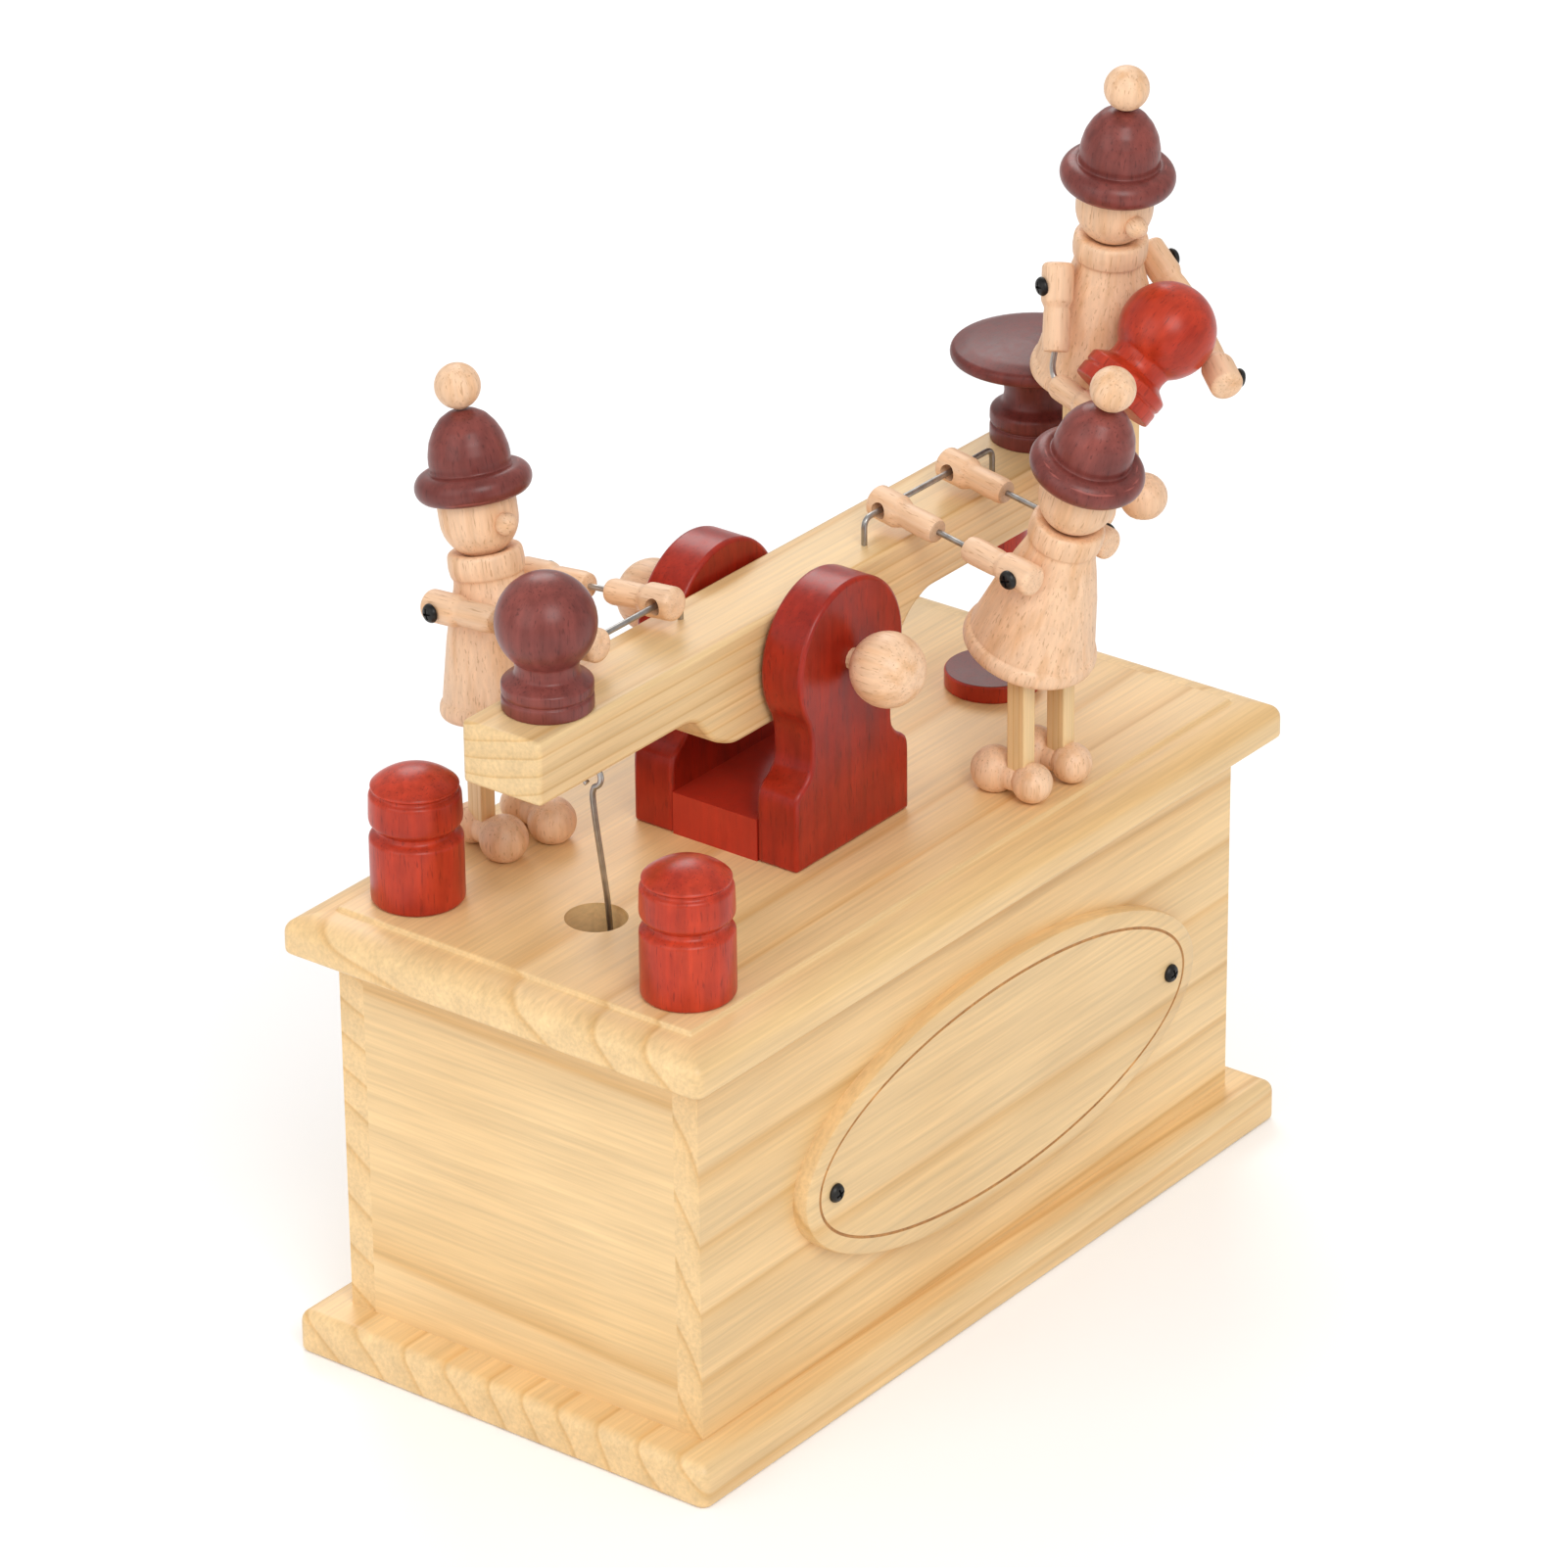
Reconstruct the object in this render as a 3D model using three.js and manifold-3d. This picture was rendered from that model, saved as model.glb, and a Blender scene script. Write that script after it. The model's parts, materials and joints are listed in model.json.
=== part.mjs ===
// Wooden musical automaton: a telegraph key on a box, worked by three turned-wood figures.
//
// Frame: millimetres, +Z up. The origin is the middle of the base board's underside. +X runs along
// the box, from the ball knob's end to the seated figure's end. -Y is the face with the plaque.

import * as THREE from "three";
import { mergeVertices } from "three/addons/utils/BufferGeometryUtils.js";
import Module from "manifold-3d";

const wasm = await Module();
wasm.setup();

// ---------------------------------------------------------------- driving dimensions

const GAP = 0.3; // running clearance between pieces that turn or sit in a hole
const WIRE = 0.8; // radius of the steel wire

// Box
const BODY_LENGTH = 235;
const BODY_WIDTH = 117;
const BODY_HEIGHT = 106;
const PANEL = 8; // thickness of the four walls
const BASE_THICKNESS = 12;
const TOP_THICKNESS = 12;
const OVERHANG_ENDS = 11.5; // of the base and the top past the body
const OVERHANG_SIDES = 9.5;
const TOP_STEP = 1; // height of the raised field
const TOP_ROUND = 4.5; // roundover below the field
const TOP_BORDER = 10.5; // from the board's edge in to the raised field
const CORNER = 3; // radius of the boards' upright corners

// Plaque
const PLAQUE_LENGTH = 174;
const PLAQUE_HEIGHT = 70;
const PLAQUE_THICKNESS = 4.5;
const PLAQUE_X = 8;
const PLAQUE_SCREW_X = 75; // from the plaque's middle
const PLAQUE_SCREW_LENGTH = 10;

// Screws
const SCREW_HEAD = 2.6; // radius
const SCREW_HEAD_HEIGHT = 1.8;
const SCREW_SHANK = 1.3; // radius

// Cradle and axle
const PIVOT_X = -10.5;
const PIVOT_RISE = 52.5; // of the axle above the box's top
const CRADLE_LENGTH = 48.5;
const CHEEK = 13; // thickness of a cheek
const CHEEK_SHOULDER = 22.5; // height of the cheek's square block
const CHEEK_HEAD = 22; // radius of its round head
const CRADLE_FLOOR = 12;
const AXLE = 3; // radius
const AXLE_BALL = 10; // radius

// Beam
const BEAM_WIDTH = 25;
const BEAM_LEFT = 109.5; // from the pivot to the ball knob's end
const BEAM_RIGHT = 133.5;
const BEAM_TOP = 14; // of the beam's top above the pivot
const BEAM_ARM = 17.4; // thickness of its two arms
const BEAM_BELLY = 30.5; // thickness at the pivot
const BEAM_CHAMFER = 2;
const SIDE_PLAY = 1.3; // between the beam and a cheek

// On the beam
const BALL_KNOB_X = -101;
const KNOB_BALL = 13; // radius
const KNOB_BALL_Z = 23.1; // of its middle above the knob's base
const MUSHROOM_X = 107;
const CAP_RADIUS = 23;
const CONTACT_X = 88; // striker above, anvil below
const STRIKER_RADIUS = 9.5;
const STRIKER_HEIGHT = 11;
const ANVIL_RADIUS = 13.25;
const ANVIL_HEIGHT = 5;

// Binding posts
const POST_X = -102;
const POST_Y = 44;
const POST_RADIUS = 12.2;

// Handle wires on the beam's top
const HANDLE_RISE = 7.5; // of the wire's axis above the beam
const HANDLE_BEND = 3;
const HANDLE_DEPTH = 8; // of its legs in the beam
const HANDLE_LEFT = { from: -86, to: -41, y: 5 };
const HANDLE_RIGHT = { from: 23, to: 80, y: -5.5 };

// Pull wire, its eyes and the crank
const EYE_X = -84.5;
const EYE_RING = 3; // radius of an eye, to the wire's axis
const EYE_DROP = 4.5; // of the screw eye's middle below the beam
const PULL_HOLE_X = -84;
const PULL_HOLE = 8.25; // radius
const CRANK_PIN_X = -76;
const CRANK_PIN_Z = 80;
const CRANK_THROW = 5.2;
const CRANK_PIN = 1.4; // radius
const CRANK_DISC = 11.5; // radius
const CRANK_THICKNESS = 4;

// Music movement
const BEDPLATE = 3; // thickness
const BEDPLATE_WIDTH = 62;
const BEDPLATE_HEIGHT = 66;
const BEDPLATE_SINK = 15; // of its middle below the barrel's axis
const BARREL_RADIUS = 15;
const BARREL_LENGTH = 11;
const ARBOR = 2.5; // radius
const CYLINDER_RADIUS = 6.5;
const CYLINDER_LENGTH = 38;
const CYLINDER_PIVOT = 1.5; // radius
const LUG = 3; // thickness of a bearing lug
const COMB_TEETH = 18;
const COMB_THICKNESS = 1.2;
const GOVERNOR_SHAFT = 1; // radius
const GOVERNOR_FAN = 5; // radius
const KEY_STEM = 2.5; // radius
const KEY_SPAN = 26; // across the wings
const KEY_REACH = 6; // of the wings' near edge past the top board

// Figures, measured up from the skirt's hem, facing -Y
const HEM_RADIUS = 18.1;
const SKIRT_RADIUS = 16.8; // just above the hem
const CHEST_RADIUS = 9.2;
const COLLAR_RADIUS = 9.7;
const COLLAR_Z = 36.5;
const NECK_Z = 43.2; // top of the collar
const POCKET_RADIUS = 15; // of the hollow under the skirt
const POCKET_DEPTH = 19.5;
const HIP_Z = 14.5;
const HIP_PIN = 1.5; // radius
const SHOULDER_Z = 31.5;
const SHOULDER_X = 15.2;
const HEAD_RADIUS = 10.25;
const HEAD_Z = 51.5;
const HAT_Z = 57.5; // underside of the hat
const BRIM_RADIUS = 15.4;
const BRIM_ROLL = 4;
const CROWN_RADIUS = 10.8;
const CROWN_TOP = 80.2;
const POMPON_RADIUS = 6;
const NOSE_RADIUS = 3;
const NOSE_REACH = 14; // from the figure's axis
const LEG_WIDTH = 4.6;
const LEG_DEPTH = 6;
const LEG_X = 8; // from the middle to a leg
const HIP_RISE = 52.5; // of the hip pin above the box's top
const LEG_LENGTH = HIP_RISE - GAP;
const TOE_RADIUS = 6.5;
const TOE_Y = -9;
const HEEL_RADIUS = 5.5;
const HEEL_Y = 4;
const ARM_RADIUS = 3.8;
const SHOULDER_RADIUS = 4.5;
const SHOULDER_LENGTH = 5; // of the thicker end, past the pivot each way
const ARM_LENGTH = 18; // from the pivot to the wire
const HAND_RADIUS = 3.4;
const HAND_HEAD = 4.5; // radius round the hole
const HAND_LENGTH = 18; // from the wire to the middle of the hole
const HAND_HOLE = 2.3; // radius
const WIRE_GRIP = 4; // of a wire's end inside its hand

// Places of the figures. Hands are places along the handle wire, turns and leans are in degrees.
const LEFT_WORKER = { x: -62, y: 47.5, turn: -12, lean: 12, handle: HANDLE_LEFT, hands: [-78.8, -48.2] };
const RIGHT_WORKER = { x: 44, y: -47.5, turn: 175, lean: 19, handle: HANDLE_RIGHT, hands: [64, 33.5] };
const SITTER = { x: 98, y: -28, rise: 41.5, turn: -24, lean: 9 }; // rise of its hip above the beam
const MALLET_FORWARD = 28; // of the mallet's ball from the sitter's hip
const MALLET_SIDE = 3;
const MALLET_RISE = 8.7;
const MALLET_TILT = 48; // of its axis from upright
const MALLET_TURN = -2;

// ---------------------------------------------------------------- levels that follow

const bodyTop = BASE_THICKNESS + BODY_HEIGHT;
const deck = bodyTop + TOP_THICKNESS;
const pivotZ = deck + PIVOT_RISE;
const beamTop = pivotZ + BEAM_TOP;
const armUnder = beamTop - BEAM_ARM;
const handleZ = beamTop + HANDLE_RISE;
const front = -BODY_WIDTH / 2;
const backInside = BODY_WIDTH / 2 - PANEL;
const cheekInside = BEAM_WIDTH / 2 + SIDE_PLAY;
const cheekOutside = cheekInside + CHEEK;
const crankX = CRANK_PIN_X + CRANK_THROW;

// ---------------------------------------------------------------- colours

const finish = (color, roughness, metalness = 0) =>
  new THREE.MeshStandardMaterial({ color, roughness, metalness });
const pine = () => finish(0xecc98c, 0.55);
const beech = () => finish(0xe8b988, 0.5);
const redStain = () => finish(0xa3281b, 0.4);
const brownStain = () => finish(0x5f2b20, 0.4);
const plumStain = () => finish(0x55282a, 0.45);
const steel = () => finish(0xa8a49e, 0.3, 0.9);
const blackSteel = () => finish(0x23211f, 0.35, 0.7);
const brass = () => finish(0xc9a450, 0.35, 0.9);

// ---------------------------------------------------------------- shape helpers

const radians = THREE.MathUtils.degToRad;

/** The geometry as one clean indexed shell: shared vertices merged, slivers dropped, faces out. */
function shell(geometry) {
  const bare = geometry.clone();
  bare.deleteAttribute("normal");
  bare.deleteAttribute("uv");
  const merged = mergeVertices(bare, 1e-4);
  const index = merged.index.array;
  const point = (i) => new THREE.Vector3().fromBufferAttribute(merged.attributes.position, i);
  const kept = [];
  let volume = 0;
  for (let i = 0; i < index.length; i += 3) {
    const [a, b, c] = [index[i], index[i + 1], index[i + 2]];
    if (a === b || b === c || c === a) continue;
    kept.push(a, b, c);
    volume += point(a).dot(point(b).cross(point(c)));
  }
  if (volume < 0) kept.reverse();
  merged.setIndex(kept);
  return merged;
}

function toSolid(geometry) {
  const clean = shell(geometry);
  return new wasm.Manifold(
    new wasm.Mesh({
      numProp: 3,
      vertProperties: new Float32Array(clean.attributes.position.array),
      triVerts: new Uint32Array(clean.index.array),
    }),
  );
}

function toGeometry(solid) {
  const mesh = solid.getMesh();
  const geometry = new THREE.BufferGeometry();
  geometry.setAttribute("position", new THREE.BufferAttribute(mesh.vertProperties, 3));
  geometry.setIndex(new THREE.BufferAttribute(mesh.triVerts, 1));
  return geometry;
}

const join = (first, ...rest) => toGeometry(rest.reduce((sum, g) => sum.add(toSolid(g)), toSolid(first)));
const cut = (first, ...rest) => toGeometry(rest.reduce((sum, g) => sum.subtract(toSolid(g)), toSolid(first)));

const box = (x0, x1, y0, y1, z0, z1) =>
  new THREE.BoxGeometry(x1 - x0, y1 - y0, z1 - z0).translate((x0 + x1) / 2, (y0 + y1) / 2, (z0 + z1) / 2);

/** A turned piece about +Z. Its profile lists [radius, height] from the bottom to the top. */
function turned(profile, sides = 14) {
  const points = profile.map(([r, z]) => new THREE.Vector2(r, z));
  return new THREE.LatheGeometry(points, sides).rotateX(Math.PI / 2);
}

/** Profile points on an arc about [radius, height], from one angle to another, in degrees. */
function arcProfile(r, z, radius, from, to, steps) {
  const points = [];
  for (let i = 0; i <= steps; i++) {
    const angle = radians(from + ((to - from) * i) / steps);
    points.push([Math.max(0, r + radius * Math.cos(angle)), z + radius * Math.sin(angle)]);
  }
  return points;
}

const rod = (radius, from, to, sides = 10) =>
  turned([[0, from], [radius, from], [radius, to], [0, to]], sides);
const alongX = (geometry) => geometry.rotateY(Math.PI / 2);
const alongY = (geometry) => geometry.rotateX(-Math.PI / 2);
const ball = (radius, sides = 12) => new THREE.SphereGeometry(radius, sides, Math.round(sides / 2));

/** A round wire along a path, with flat ends. */
function wireAlong(path, steps, radius = WIRE, sides = 6) {
  const ring = [];
  for (let i = 0; i < sides; i++) {
    const angle = (2 * Math.PI * i) / sides;
    ring.push(new THREE.Vector2(radius * Math.cos(angle), radius * Math.sin(angle)));
  }
  return new THREE.ExtrudeGeometry(new THREE.Shape(ring), { steps, extrudePath: path });
}

/** A closed ring of wire in the XZ plane. */
const wireRing = (ringRadius) => new THREE.TorusGeometry(ringRadius, WIRE, 6, 12).rotateX(Math.PI / 2);

/** An outline in X and Z, given thickness in Y from y0 to y1. */
function slab(outline, y0, y1, curveSegments = 8) {
  return new THREE.ExtrudeGeometry(outline, { depth: y1 - y0, bevelEnabled: false, curveSegments })
    .rotateX(Math.PI / 2)
    .translate(0, y1, 0);
}

function roundedRectangle(length, width, radius) {
  const [x, y] = [length / 2, width / 2];
  const shape = new THREE.Shape();
  shape.moveTo(-x + radius, -y);
  shape.lineTo(x - radius, -y);
  shape.absarc(x - radius, -y + radius, radius, -Math.PI / 2, 0);
  shape.lineTo(x, y - radius);
  shape.absarc(x - radius, y - radius, radius, 0, Math.PI / 2);
  shape.lineTo(-x + radius, y);
  shape.absarc(-x + radius, y - radius, radius, Math.PI / 2, Math.PI);
  shape.lineTo(-x, -y + radius);
  shape.absarc(-x + radius, -y + radius, radius, Math.PI, 1.5 * Math.PI);
  return shape;
}

/** A flat board with a rounded upper edge. Its underside is at z. */
function board(length, width, z, thickness, edge) {
  const outline = roundedRectangle(length - 2 * edge, width - 2 * edge, CORNER);
  const bevel = { bevelThickness: edge, bevelSize: edge, bevelSegments: 3 };
  const blank = new THREE.ExtrudeGeometry(outline, { depth: thickness, curveSegments: 2, ...bevel });
  blank.translate(0, 0, z - edge);
  return cut(blank, box(-length, length, -width, width, z - 2 * edge, z));
}

// ---------------------------------------------------------------- assembly tools

const automaton = new THREE.Group();

function place(name, geometry, material, parent = automaton) {
  const mesh = new THREE.Mesh(shell(geometry), material);
  mesh.name = name;
  parent.add(mesh);
  return mesh;
}

function groupAt(parent, x, y, z) {
  const group = new THREE.Group();
  group.position.set(x, y, z);
  parent.add(group);
  return group;
}

/** A pan-head screw about +Z, driven down: the head sits on z = 0 and the shank hangs below. */
function screw(length) {
  const crown = SCREW_HEAD_HEIGHT * 0.55;
  return turned(
    [
      [0, -length],
      [SCREW_SHANK, -length + SCREW_SHANK],
      [SCREW_SHANK, 0],
      [SCREW_HEAD, 0],
      [SCREW_HEAD, crown],
      [SCREW_HEAD * 0.7, SCREW_HEAD_HEIGHT],
      [0, SCREW_HEAD_HEIGHT],
    ],
    10,
  );
}

// ---------------------------------------------------------------- the box

function buildBox() {
  const [length, width] = [BODY_LENGTH + 2 * OVERHANG_ENDS, BODY_WIDTH + 2 * OVERHANG_SIDES];
  place("base_board", board(length, width, 0, BASE_THICKNESS, 3), pine());

  const screwBore = () => alongY(rod(SCREW_SHANK + GAP, -PANEL - 1, PANEL + 1));
  const plaqueZ = BASE_THICKNESS + BODY_HEIGHT / 2 - 2;
  const bores = [-1, 1].map((side) =>
    screwBore().translate(PLAQUE_X + side * PLAQUE_SCREW_X, front, plaqueZ),
  );
  const [x, inside] = [BODY_LENGTH / 2, BODY_WIDTH / 2 - PANEL];
  const wall = box(-x, x, front, front + PANEL, BASE_THICKNESS, bodyTop);
  place("front_panel", cut(wall, ...bores), pine());

  const stemBore = alongY(rod(KEY_STEM + 1, -PANEL - 1, PANEL + 1, 16));
  stemBore.translate(crankX, backInside + PANEL / 2, CRANK_PIN_Z);
  const backWall = box(-x, x, backInside, backInside + PANEL, BASE_THICKNESS, bodyTop);
  place("back_panel", cut(backWall, stemBore), pine());
  place("left_panel", box(-x, -x + PANEL, -inside, inside, BASE_THICKNESS, bodyTop), pine());
  place("right_panel", box(x - PANEL, x, -inside, inside, BASE_THICKNESS, bodyTop), pine());

  const oval = new THREE.Shape();
  oval.absellipse(0, 0, PLAQUE_LENGTH / 2 - 1, PLAQUE_HEIGHT / 2 - 1, 0, 2 * Math.PI);
  const bevel = { bevelThickness: 1, bevelSize: 1, bevelSegments: 1 };
  const blank = new THREE.ExtrudeGeometry(oval, { depth: PLAQUE_THICKNESS, curveSegments: 14, ...bevel })
    .translate(0, 0, -1)
    .rotateX(Math.PI / 2)
    .translate(PLAQUE_X, front, plaqueZ);
  const behind = box(-x, x, front, front + 2, 0, bodyTop);
  place("plaque", cut(blank, behind, ...bores), pine());
  for (const [name, side] of [["left", -1], ["right", 1]]) {
    const head = screw(PLAQUE_SCREW_LENGTH).rotateX(Math.PI / 2);
    head.translate(PLAQUE_X + side * PLAQUE_SCREW_X, front - PLAQUE_THICKNESS, plaqueZ);
    place(`plaque_screw_${name}`, head, blackSteel());
  }
}

function buildTopBoard() {
  const [length, width] = [BODY_LENGTH + 2 * OVERHANG_ENDS, BODY_WIDTH + 2 * OVERHANG_SIDES];
  const lower = board(length, width, bodyTop, TOP_THICKNESS - TOP_STEP, TOP_ROUND);
  const field = roundedRectangle(length - 2 * TOP_BORDER, width - 2 * TOP_BORDER, CORNER);
  const raised = new THREE.ExtrudeGeometry(field, { depth: 2 * TOP_STEP, bevelEnabled: false, curveSegments: 2 });
  raised.translate(0, 0, deck - 2 * TOP_STEP);
  const hole = rod(PULL_HOLE, bodyTop - 1, deck + 1, 20).translate(PULL_HOLE_X, 0, 0);
  place("top_board", cut(join(lower, raised), hole), pine());

  for (const [name, side] of [["front", -1], ["back", 1]]) {
    place(`binding_post_${name}`, bindingPost().translate(POST_X, side * POST_Y, deck), redStain());
  }
  const anvil = turned([[0, 0], [ANVIL_RADIUS, 0], [ANVIL_RADIUS, ANVIL_HEIGHT], [0, ANVIL_HEIGHT]], 24);
  place("anvil_disc", anvil.translate(CONTACT_X, 0, deck), plumStain());
}

function bindingPost() {
  const waist = POST_RADIUS - 2.4;
  return turned([
    [0, 0],
    [POST_RADIUS, 0],
    [POST_RADIUS, 18.2],
    [waist, 19.6],
    [waist, 21],
    [POST_RADIUS - 0.2, 22.4],
    [POST_RADIUS, 30],
    [POST_RADIUS - 1.2, 31.2],
    [POST_RADIUS - 1.6, 33.2],
    [POST_RADIUS - 5.2, 36],
    [0, 37.2],
  ]);
}

// ---------------------------------------------------------------- cradle and axle

function cheekOutline() {
  const half = CRADLE_LENGTH / 2;
  const neck = radians(35);
  const [neckX, neckZ] = [CHEEK_HEAD * Math.cos(neck), PIVOT_RISE - CHEEK_HEAD * Math.sin(neck)];
  const shape = new THREE.Shape();
  shape.moveTo(half, 0);
  shape.lineTo(half, CHEEK_SHOULDER - 4);
  shape.quadraticCurveTo(half, CHEEK_SHOULDER, half - 3.7, CHEEK_SHOULDER + 1.5);
  shape.bezierCurveTo(half - 10.7, CHEEK_SHOULDER + 5, neckX - 3.5, neckZ - 5, neckX, neckZ);
  shape.absarc(0, PIVOT_RISE, CHEEK_HEAD, -neck, Math.PI + neck);
  shape.bezierCurveTo(-neckX + 3.5, neckZ - 5, -half + 10.7, CHEEK_SHOULDER + 5, -half + 3.7, CHEEK_SHOULDER + 1.5);
  shape.quadraticCurveTo(-half, CHEEK_SHOULDER, -half, CHEEK_SHOULDER - 4);
  shape.lineTo(-half, 0);
  shape.closePath();
  return shape;
}

function buildCradle() {
  const bore = alongY(rod(AXLE + GAP, -cheekOutside - 1, cheekOutside + 1, 12)).translate(PIVOT_X, 0, pivotZ);
  for (const [name, y0] of [["front", -cheekOutside], ["back", cheekInside]]) {
    const cheek = slab(cheekOutline(), y0, y0 + CHEEK, 10).translate(PIVOT_X, 0, deck);
    place(`cradle_cheek_${name}`, cut(cheek, bore), redStain());
  }
  const half = CRADLE_LENGTH / 2;
  const floor = box(-half, half, -cheekInside, cheekInside, 0, CRADLE_FLOOR).translate(PIVOT_X, 0, deck);
  place("cradle_floor", floor, redStain());

  const ballY = cheekOutside + 1 + AXLE_BALL;
  const axle = alongY(rod(AXLE, -ballY, ballY, 12)).translate(PIVOT_X, 0, pivotZ);
  place("axle", axle, beech());
  for (const [name, side] of [["front", -1], ["back", 1]]) {
    const socket = alongY(rod(AXLE + GAP, -ballY - GAP, ballY + GAP, 12));
    const end = cut(ball(AXLE_BALL, 14).translate(0, side * ballY, 0), socket);
    place(`axle_ball_${name}`, end.translate(PIVOT_X, 0, pivotZ), beech());
  }
}

// ---------------------------------------------------------------- beam and what it carries

function beamOutline() {
  const [left, right, top] = [-BEAM_LEFT, BEAM_RIGHT, BEAM_TOP];
  const under = top - BEAM_ARM;
  const belly = top - BEAM_BELLY;
  const shape = new THREE.Shape();
  shape.moveTo(left, under + BEAM_CHAMFER);
  shape.lineTo(left + BEAM_CHAMFER, under);
  shape.lineTo(-49.5, under);
  shape.quadraticCurveTo(-44, under, -41, belly + 7);
  shape.lineTo(-30.5, belly);
  shape.lineTo(31, belly);
  shape.quadraticCurveTo(40, belly + 3, 43, belly + 8);
  shape.quadraticCurveTo(46.5, under, 53, under);
  shape.lineTo(right - BEAM_CHAMFER, under);
  shape.lineTo(right, under + BEAM_CHAMFER);
  shape.lineTo(right, top - BEAM_CHAMFER);
  shape.lineTo(right - BEAM_CHAMFER, top);
  shape.lineTo(left + BEAM_CHAMFER, top);
  shape.lineTo(left, top - BEAM_CHAMFER);
  shape.closePath();
  return shape;
}

/** A knob turned like a lidded post: base ring, sloping shoulder, short neck and ball. */
function ballKnob(sides = 16) {
  return turned(
    [[0, 0], [11.7, 0], [11.7, 7.5], [8.2, 9.5], ...arcProfile(0, KNOB_BALL_Z, KNOB_BALL, -50, 90, 6)],
    sides,
  );
}

function mushroomKnob() {
  const underCap = 22.5;
  return turned(
    [
      [0, 0],
      [12.2, 0],
      [12.2, 8.8],
      [8.6, 11.5],
      [8.3, 16],
      [11, 20],
      [CAP_RADIUS - 4, underCap],
      [CAP_RADIUS - 0.5, underCap + 1],
      [CAP_RADIUS, underCap + 3.4],
      [CAP_RADIUS - 1.2, underCap + 4.6],
      [CAP_RADIUS * 0.55, underCap + 6.6],
      [0, underCap + 7.4],
    ],
    20,
  );
}

function handlePath({ from, to, y }) {
  const [low, high, bend] = [beamTop - HANDLE_DEPTH, handleZ, HANDLE_BEND];
  const at = (x, z) => new THREE.Vector3(x, y, z);
  const path = new THREE.CurvePath();
  path.add(new THREE.LineCurve3(at(from, low), at(from, high - bend)));
  path.add(new THREE.QuadraticBezierCurve3(at(from, high - bend), at(from, high), at(from + bend, high)));
  path.add(new THREE.LineCurve3(at(from + bend, high), at(to - bend, high)));
  path.add(new THREE.QuadraticBezierCurve3(at(to - bend, high), at(to, high), at(to, high - bend)));
  path.add(new THREE.LineCurve3(at(to, high - bend), at(to, low)));
  return path;
}

function buildBeam() {
  const blank = slab(beamOutline(), -BEAM_WIDTH / 2, BEAM_WIDTH / 2, 4).translate(PIVOT_X, 0, pivotZ);
  const bores = [alongY(rod(AXLE + GAP, -BEAM_WIDTH, BEAM_WIDTH, 12)).translate(PIVOT_X, 0, pivotZ)];
  for (const handle of [HANDLE_LEFT, HANDLE_RIGHT]) {
    for (const x of [handle.from, handle.to]) {
      const bore = rod(WIRE + GAP, beamTop - HANDLE_DEPTH - GAP, beamTop + 1, 8);
      bores.push(bore.translate(x, handle.y, 0));
    }
  }
  bores.push(rod(WIRE + GAP, armUnder - 1, armUnder + HANDLE_DEPTH + GAP, 8).translate(EYE_X, 0, 0));
  place("beam", cut(blank, ...bores), pine());

  place("ball_knob", ballKnob().translate(BALL_KNOB_X, 0, beamTop), brownStain());
  place("mushroom_knob", mushroomKnob().translate(MUSHROOM_X, 0, beamTop), plumStain());
  const striker = turned([
    [0, 0],
    [STRIKER_RADIUS - 2, 0],
    [STRIKER_RADIUS, 2],
    [STRIKER_RADIUS, STRIKER_HEIGHT],
    [0, STRIKER_HEIGHT],
  ]);
  place("striker", striker.translate(CONTACT_X, 0, armUnder - STRIKER_HEIGHT), redStain());
  place("handle_wire_left", wireAlong(handlePath(HANDLE_LEFT), 26), steel());
  place("handle_wire_right", wireAlong(handlePath(HANDLE_RIGHT), 30), steel());
}

// ---------------------------------------------------------------- pull wire

const eyeZ = armUnder - EYE_DROP;
const hookTop = eyeZ - EYE_RING + 2 * WIRE + GAP;
const hookZ = hookTop - EYE_RING;

function buildPullWire() {
  const shank = rod(WIRE, eyeZ + EYE_RING - WIRE / 2, armUnder + HANDLE_DEPTH, 8);
  const eye = join(wireRing(EYE_RING).translate(0, 0, eyeZ), shank).translate(EYE_X, 0, 0);
  place("screw_eye", eye, steel());

  const top = new THREE.Vector3(EYE_X, 0, hookZ - EYE_RING + WIRE / 2);
  const bend = new THREE.Vector3(PULL_HOLE_X + 5.2, 0, deck + 4);
  const through = new THREE.Vector3(PULL_HOLE_X + 6.2, 0, bodyTop);
  const low = new THREE.Vector3(CRANK_PIN_X, 0, CRANK_PIN_Z + EYE_RING - WIRE / 2);
  const straight = new THREE.CatmullRomCurve3([top, bend, through, low]);
  const upperEye = wireRing(EYE_RING).rotateZ(Math.PI / 2).translate(EYE_X, 0, hookZ);
  const lowerEye = wireRing(EYE_RING).translate(CRANK_PIN_X, 0, CRANK_PIN_Z);
  place("pull_wire", join(wireAlong(straight, 9), upperEye, lowerEye), steel());
}

// ---------------------------------------------------------------- music movement

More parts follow.
